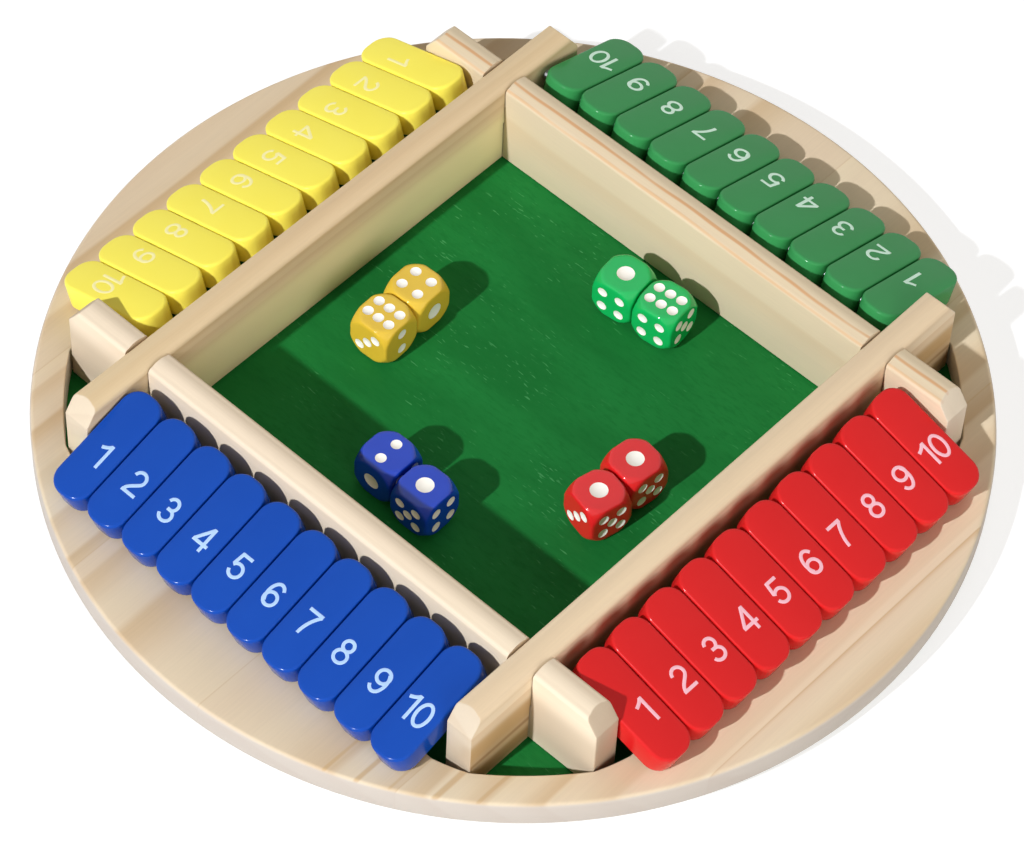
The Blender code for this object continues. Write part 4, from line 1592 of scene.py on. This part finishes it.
@dataclass
class Studio:
    """The camera at the photograph's angle, a white floor and soft light."""

    azimuth: float = -49.57
    elevation: float = 52.32
    roll: float = 3.16
    distance: float = 1290.05 * MM
    target_height: float = 18.0 * MM
    focal_pixels: float = 4164.5
    shift_pixels: Point2 = (3.26, -38.05)
    sky: float = 0.22
    sky_colour: Colour = (1.0, 0.92, 0.8)
    key_heading: float = -4.0
    key_height: float = 36.5
    key_strength: float = 3.2
    key_softness: float = 1.6
    key_colour: Colour = (0.93, 0.96, 1.0)
    fill_heading: float = 77.0
    fill_height: float = 20.0
    fill_strength: float = 1.25
    fill_softness: float = 40.0
    fill_colour: Colour = (1.0, 0.97, 0.93)
    wall_heading: float = 195.0
    wall_height: float = 16.0
    wall_strength: float = 0.8
    wall_softness: float = 50.0
    wall_colour: Colour = (1.0, 0.94, 0.84)
    floor_bounce: float = 0.8
    floor_colour: float = 0.4
    floor_glow: float = 0.72

    def build(self) -> None:
        """Set up the camera, the lamps, the floor and the world."""
        self._camera()
        self._lamps()
        self._floor()
        self._world()
        bpy.context.scene.view_settings.view_transform = "Standard"

    def _camera(self) -> None:
        """Place the camera where the photograph was taken from."""
        azimuth, elevation, roll = (math.radians(a) for a in (self.azimuth, self.elevation, self.roll))
        back = Vector((
            math.sin(azimuth) * math.cos(elevation),
            -math.cos(azimuth) * math.cos(elevation),
            math.sin(elevation),
        ))
        side = (-back).cross(Vector((0.0, 0.0, 1.0))).normalized()
        up = side.cross(-back)
        right = side * math.cos(roll) + up * math.sin(roll)
        top = up * math.cos(roll) - side * math.sin(roll)
        lens = bpy.data.cameras.new("camera")
        lens.sensor_width = 36.0
        lens.sensor_fit = "HORIZONTAL"
        lens.lens = self.focal_pixels * lens.sensor_width / PHOTO_WIDTH
        lens.shift_x = -self.shift_pixels[0] / PHOTO_WIDTH
        lens.shift_y = self.shift_pixels[1] / PHOTO_WIDTH
        lens.clip_start = 0.05
        camera = bpy.data.objects.new("camera", lens)
        turn = Matrix((right, top, back)).transposed().to_4x4()
        place = back * self.distance + Vector((0.0, 0.0, self.target_height))
        camera.matrix_world = Matrix.Translation(place) @ turn
        bpy.context.scene.collection.objects.link(camera)
        bpy.context.scene.camera = camera

    def _lamps(self) -> None:
        """Set the key light on the left, a soft fill in front and a pale wall on the right."""
        self._lamp("key", self.key_heading, self.key_height, self.key_strength, self.key_softness,
                   self.key_colour, glare=True)
        self._lamp("fill", self.fill_heading, self.fill_height, self.fill_strength, self.fill_softness,
                   self.fill_colour)
        self._lamp("wall", self.wall_heading, self.wall_height, self.wall_strength, self.wall_softness,
                   self.wall_colour)

    @staticmethod
    def _lamp(name: str, heading: float, height: float, strength: float, softness: float,
              colour: Colour, glare: bool = False) -> None:
        """Hang one distant lamp.

        Args:
            name: The lamp's name.
            heading: Where its light travels, in degrees from +X.
            height: How far above the horizon it stands, in degrees.
            strength: Its strength.
            softness: How wide it looks from the object, in degrees.
            colour: The light's colour, each part up to 1.
            glare: Show the lamp in glossy surfaces.
        """
        sun = bpy.data.lights.new(name, "SUN")
        sun.energy = strength
        sun.angle = math.radians(softness)
        sun.color = colour
        turn, drop = math.radians(heading), math.radians(height)
        ray = Vector((math.cos(turn) * math.cos(drop), math.sin(turn) * math.cos(drop), -math.sin(drop)))
        item = bpy.data.objects.new(name, sun)
        item.location = -ray
        item.visible_glossy = glare
        item.rotation_euler = ray.to_track_quat("-Z", "Y").to_euler()
        bpy.context.scene.collection.objects.link(item)

    def _floor(self) -> None:
        """Lay the white floor."""
        Bench.clear()
        bpy.ops.mesh.primitive_plane_add(size=12.0)
        floor = bpy.context.object
        floor.name = "studio_floor"
        material, desk, shader = open_material("studio_floor")
        path = desk.add("ShaderNodeLightPath")
        seen, unseen = (self.floor_colour,) * 3 + (1.0,), (self.floor_bounce,) * 3 + (1.0,)
        desk.feed(shader.inputs["Base Color"], desk.blend(path.outputs["Is Camera Ray"], unseen, seen))
        shader.inputs["Roughness"].default_value = 0.9
        shader.inputs["Specular IOR Level"].default_value = 0.0
        shader.inputs["Emission Color"].default_value = (1.0, 1.0, 1.0, 1.0)
        desk.feed(shader.inputs["Emission Strength"],
                  desk.math("MULTIPLY", path.outputs["Is Camera Ray"], self.floor_glow))
        floor.data.materials.append(material)

    def _world(self) -> None:
        """Surround the scene with even light and a white background."""
        world = bpy.data.worlds.new("studio")
        bpy.context.scene.world = world
        world.use_nodes = True
        desk = ShaderDesk(world.node_tree)
        background = world.node_tree.nodes["Background"]
        path = desk.add("ShaderNodeLightPath")
        seen = desk.math("MAXIMUM", path.outputs["Is Camera Ray"], path.outputs["Is Glossy Ray"])
        seen = desk.math("MAXIMUM", seen, path.outputs["Is Transmission Ray"])
        strength = desk.math("MULTIPLY_ADD", seen, 1.0 - self.sky, self.sky)
        desk.feed(background.inputs["Strength"], strength)
        tint = desk.blend(seen, self.sky_colour + (1.0,), (1.0, 1.0, 1.0, 1.0))
        desk.feed(background.inputs["Color"], tint)


def main() -> None:
    """Build the game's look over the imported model."""
    logging.basicConfig(level=logging.INFO, format="%(message)s")
    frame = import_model()
    Studio().build()
    Board().build(frame["nodes"])
    for tile in TileRows().build():
        LOG.info("%s: %d faces", tile.name, len(tile.data.polygons))
    for die in Dice().build():
        LOG.info("%s: %d faces", die.name, len(die.data.polygons))


if __name__ == "__main__":
    main()
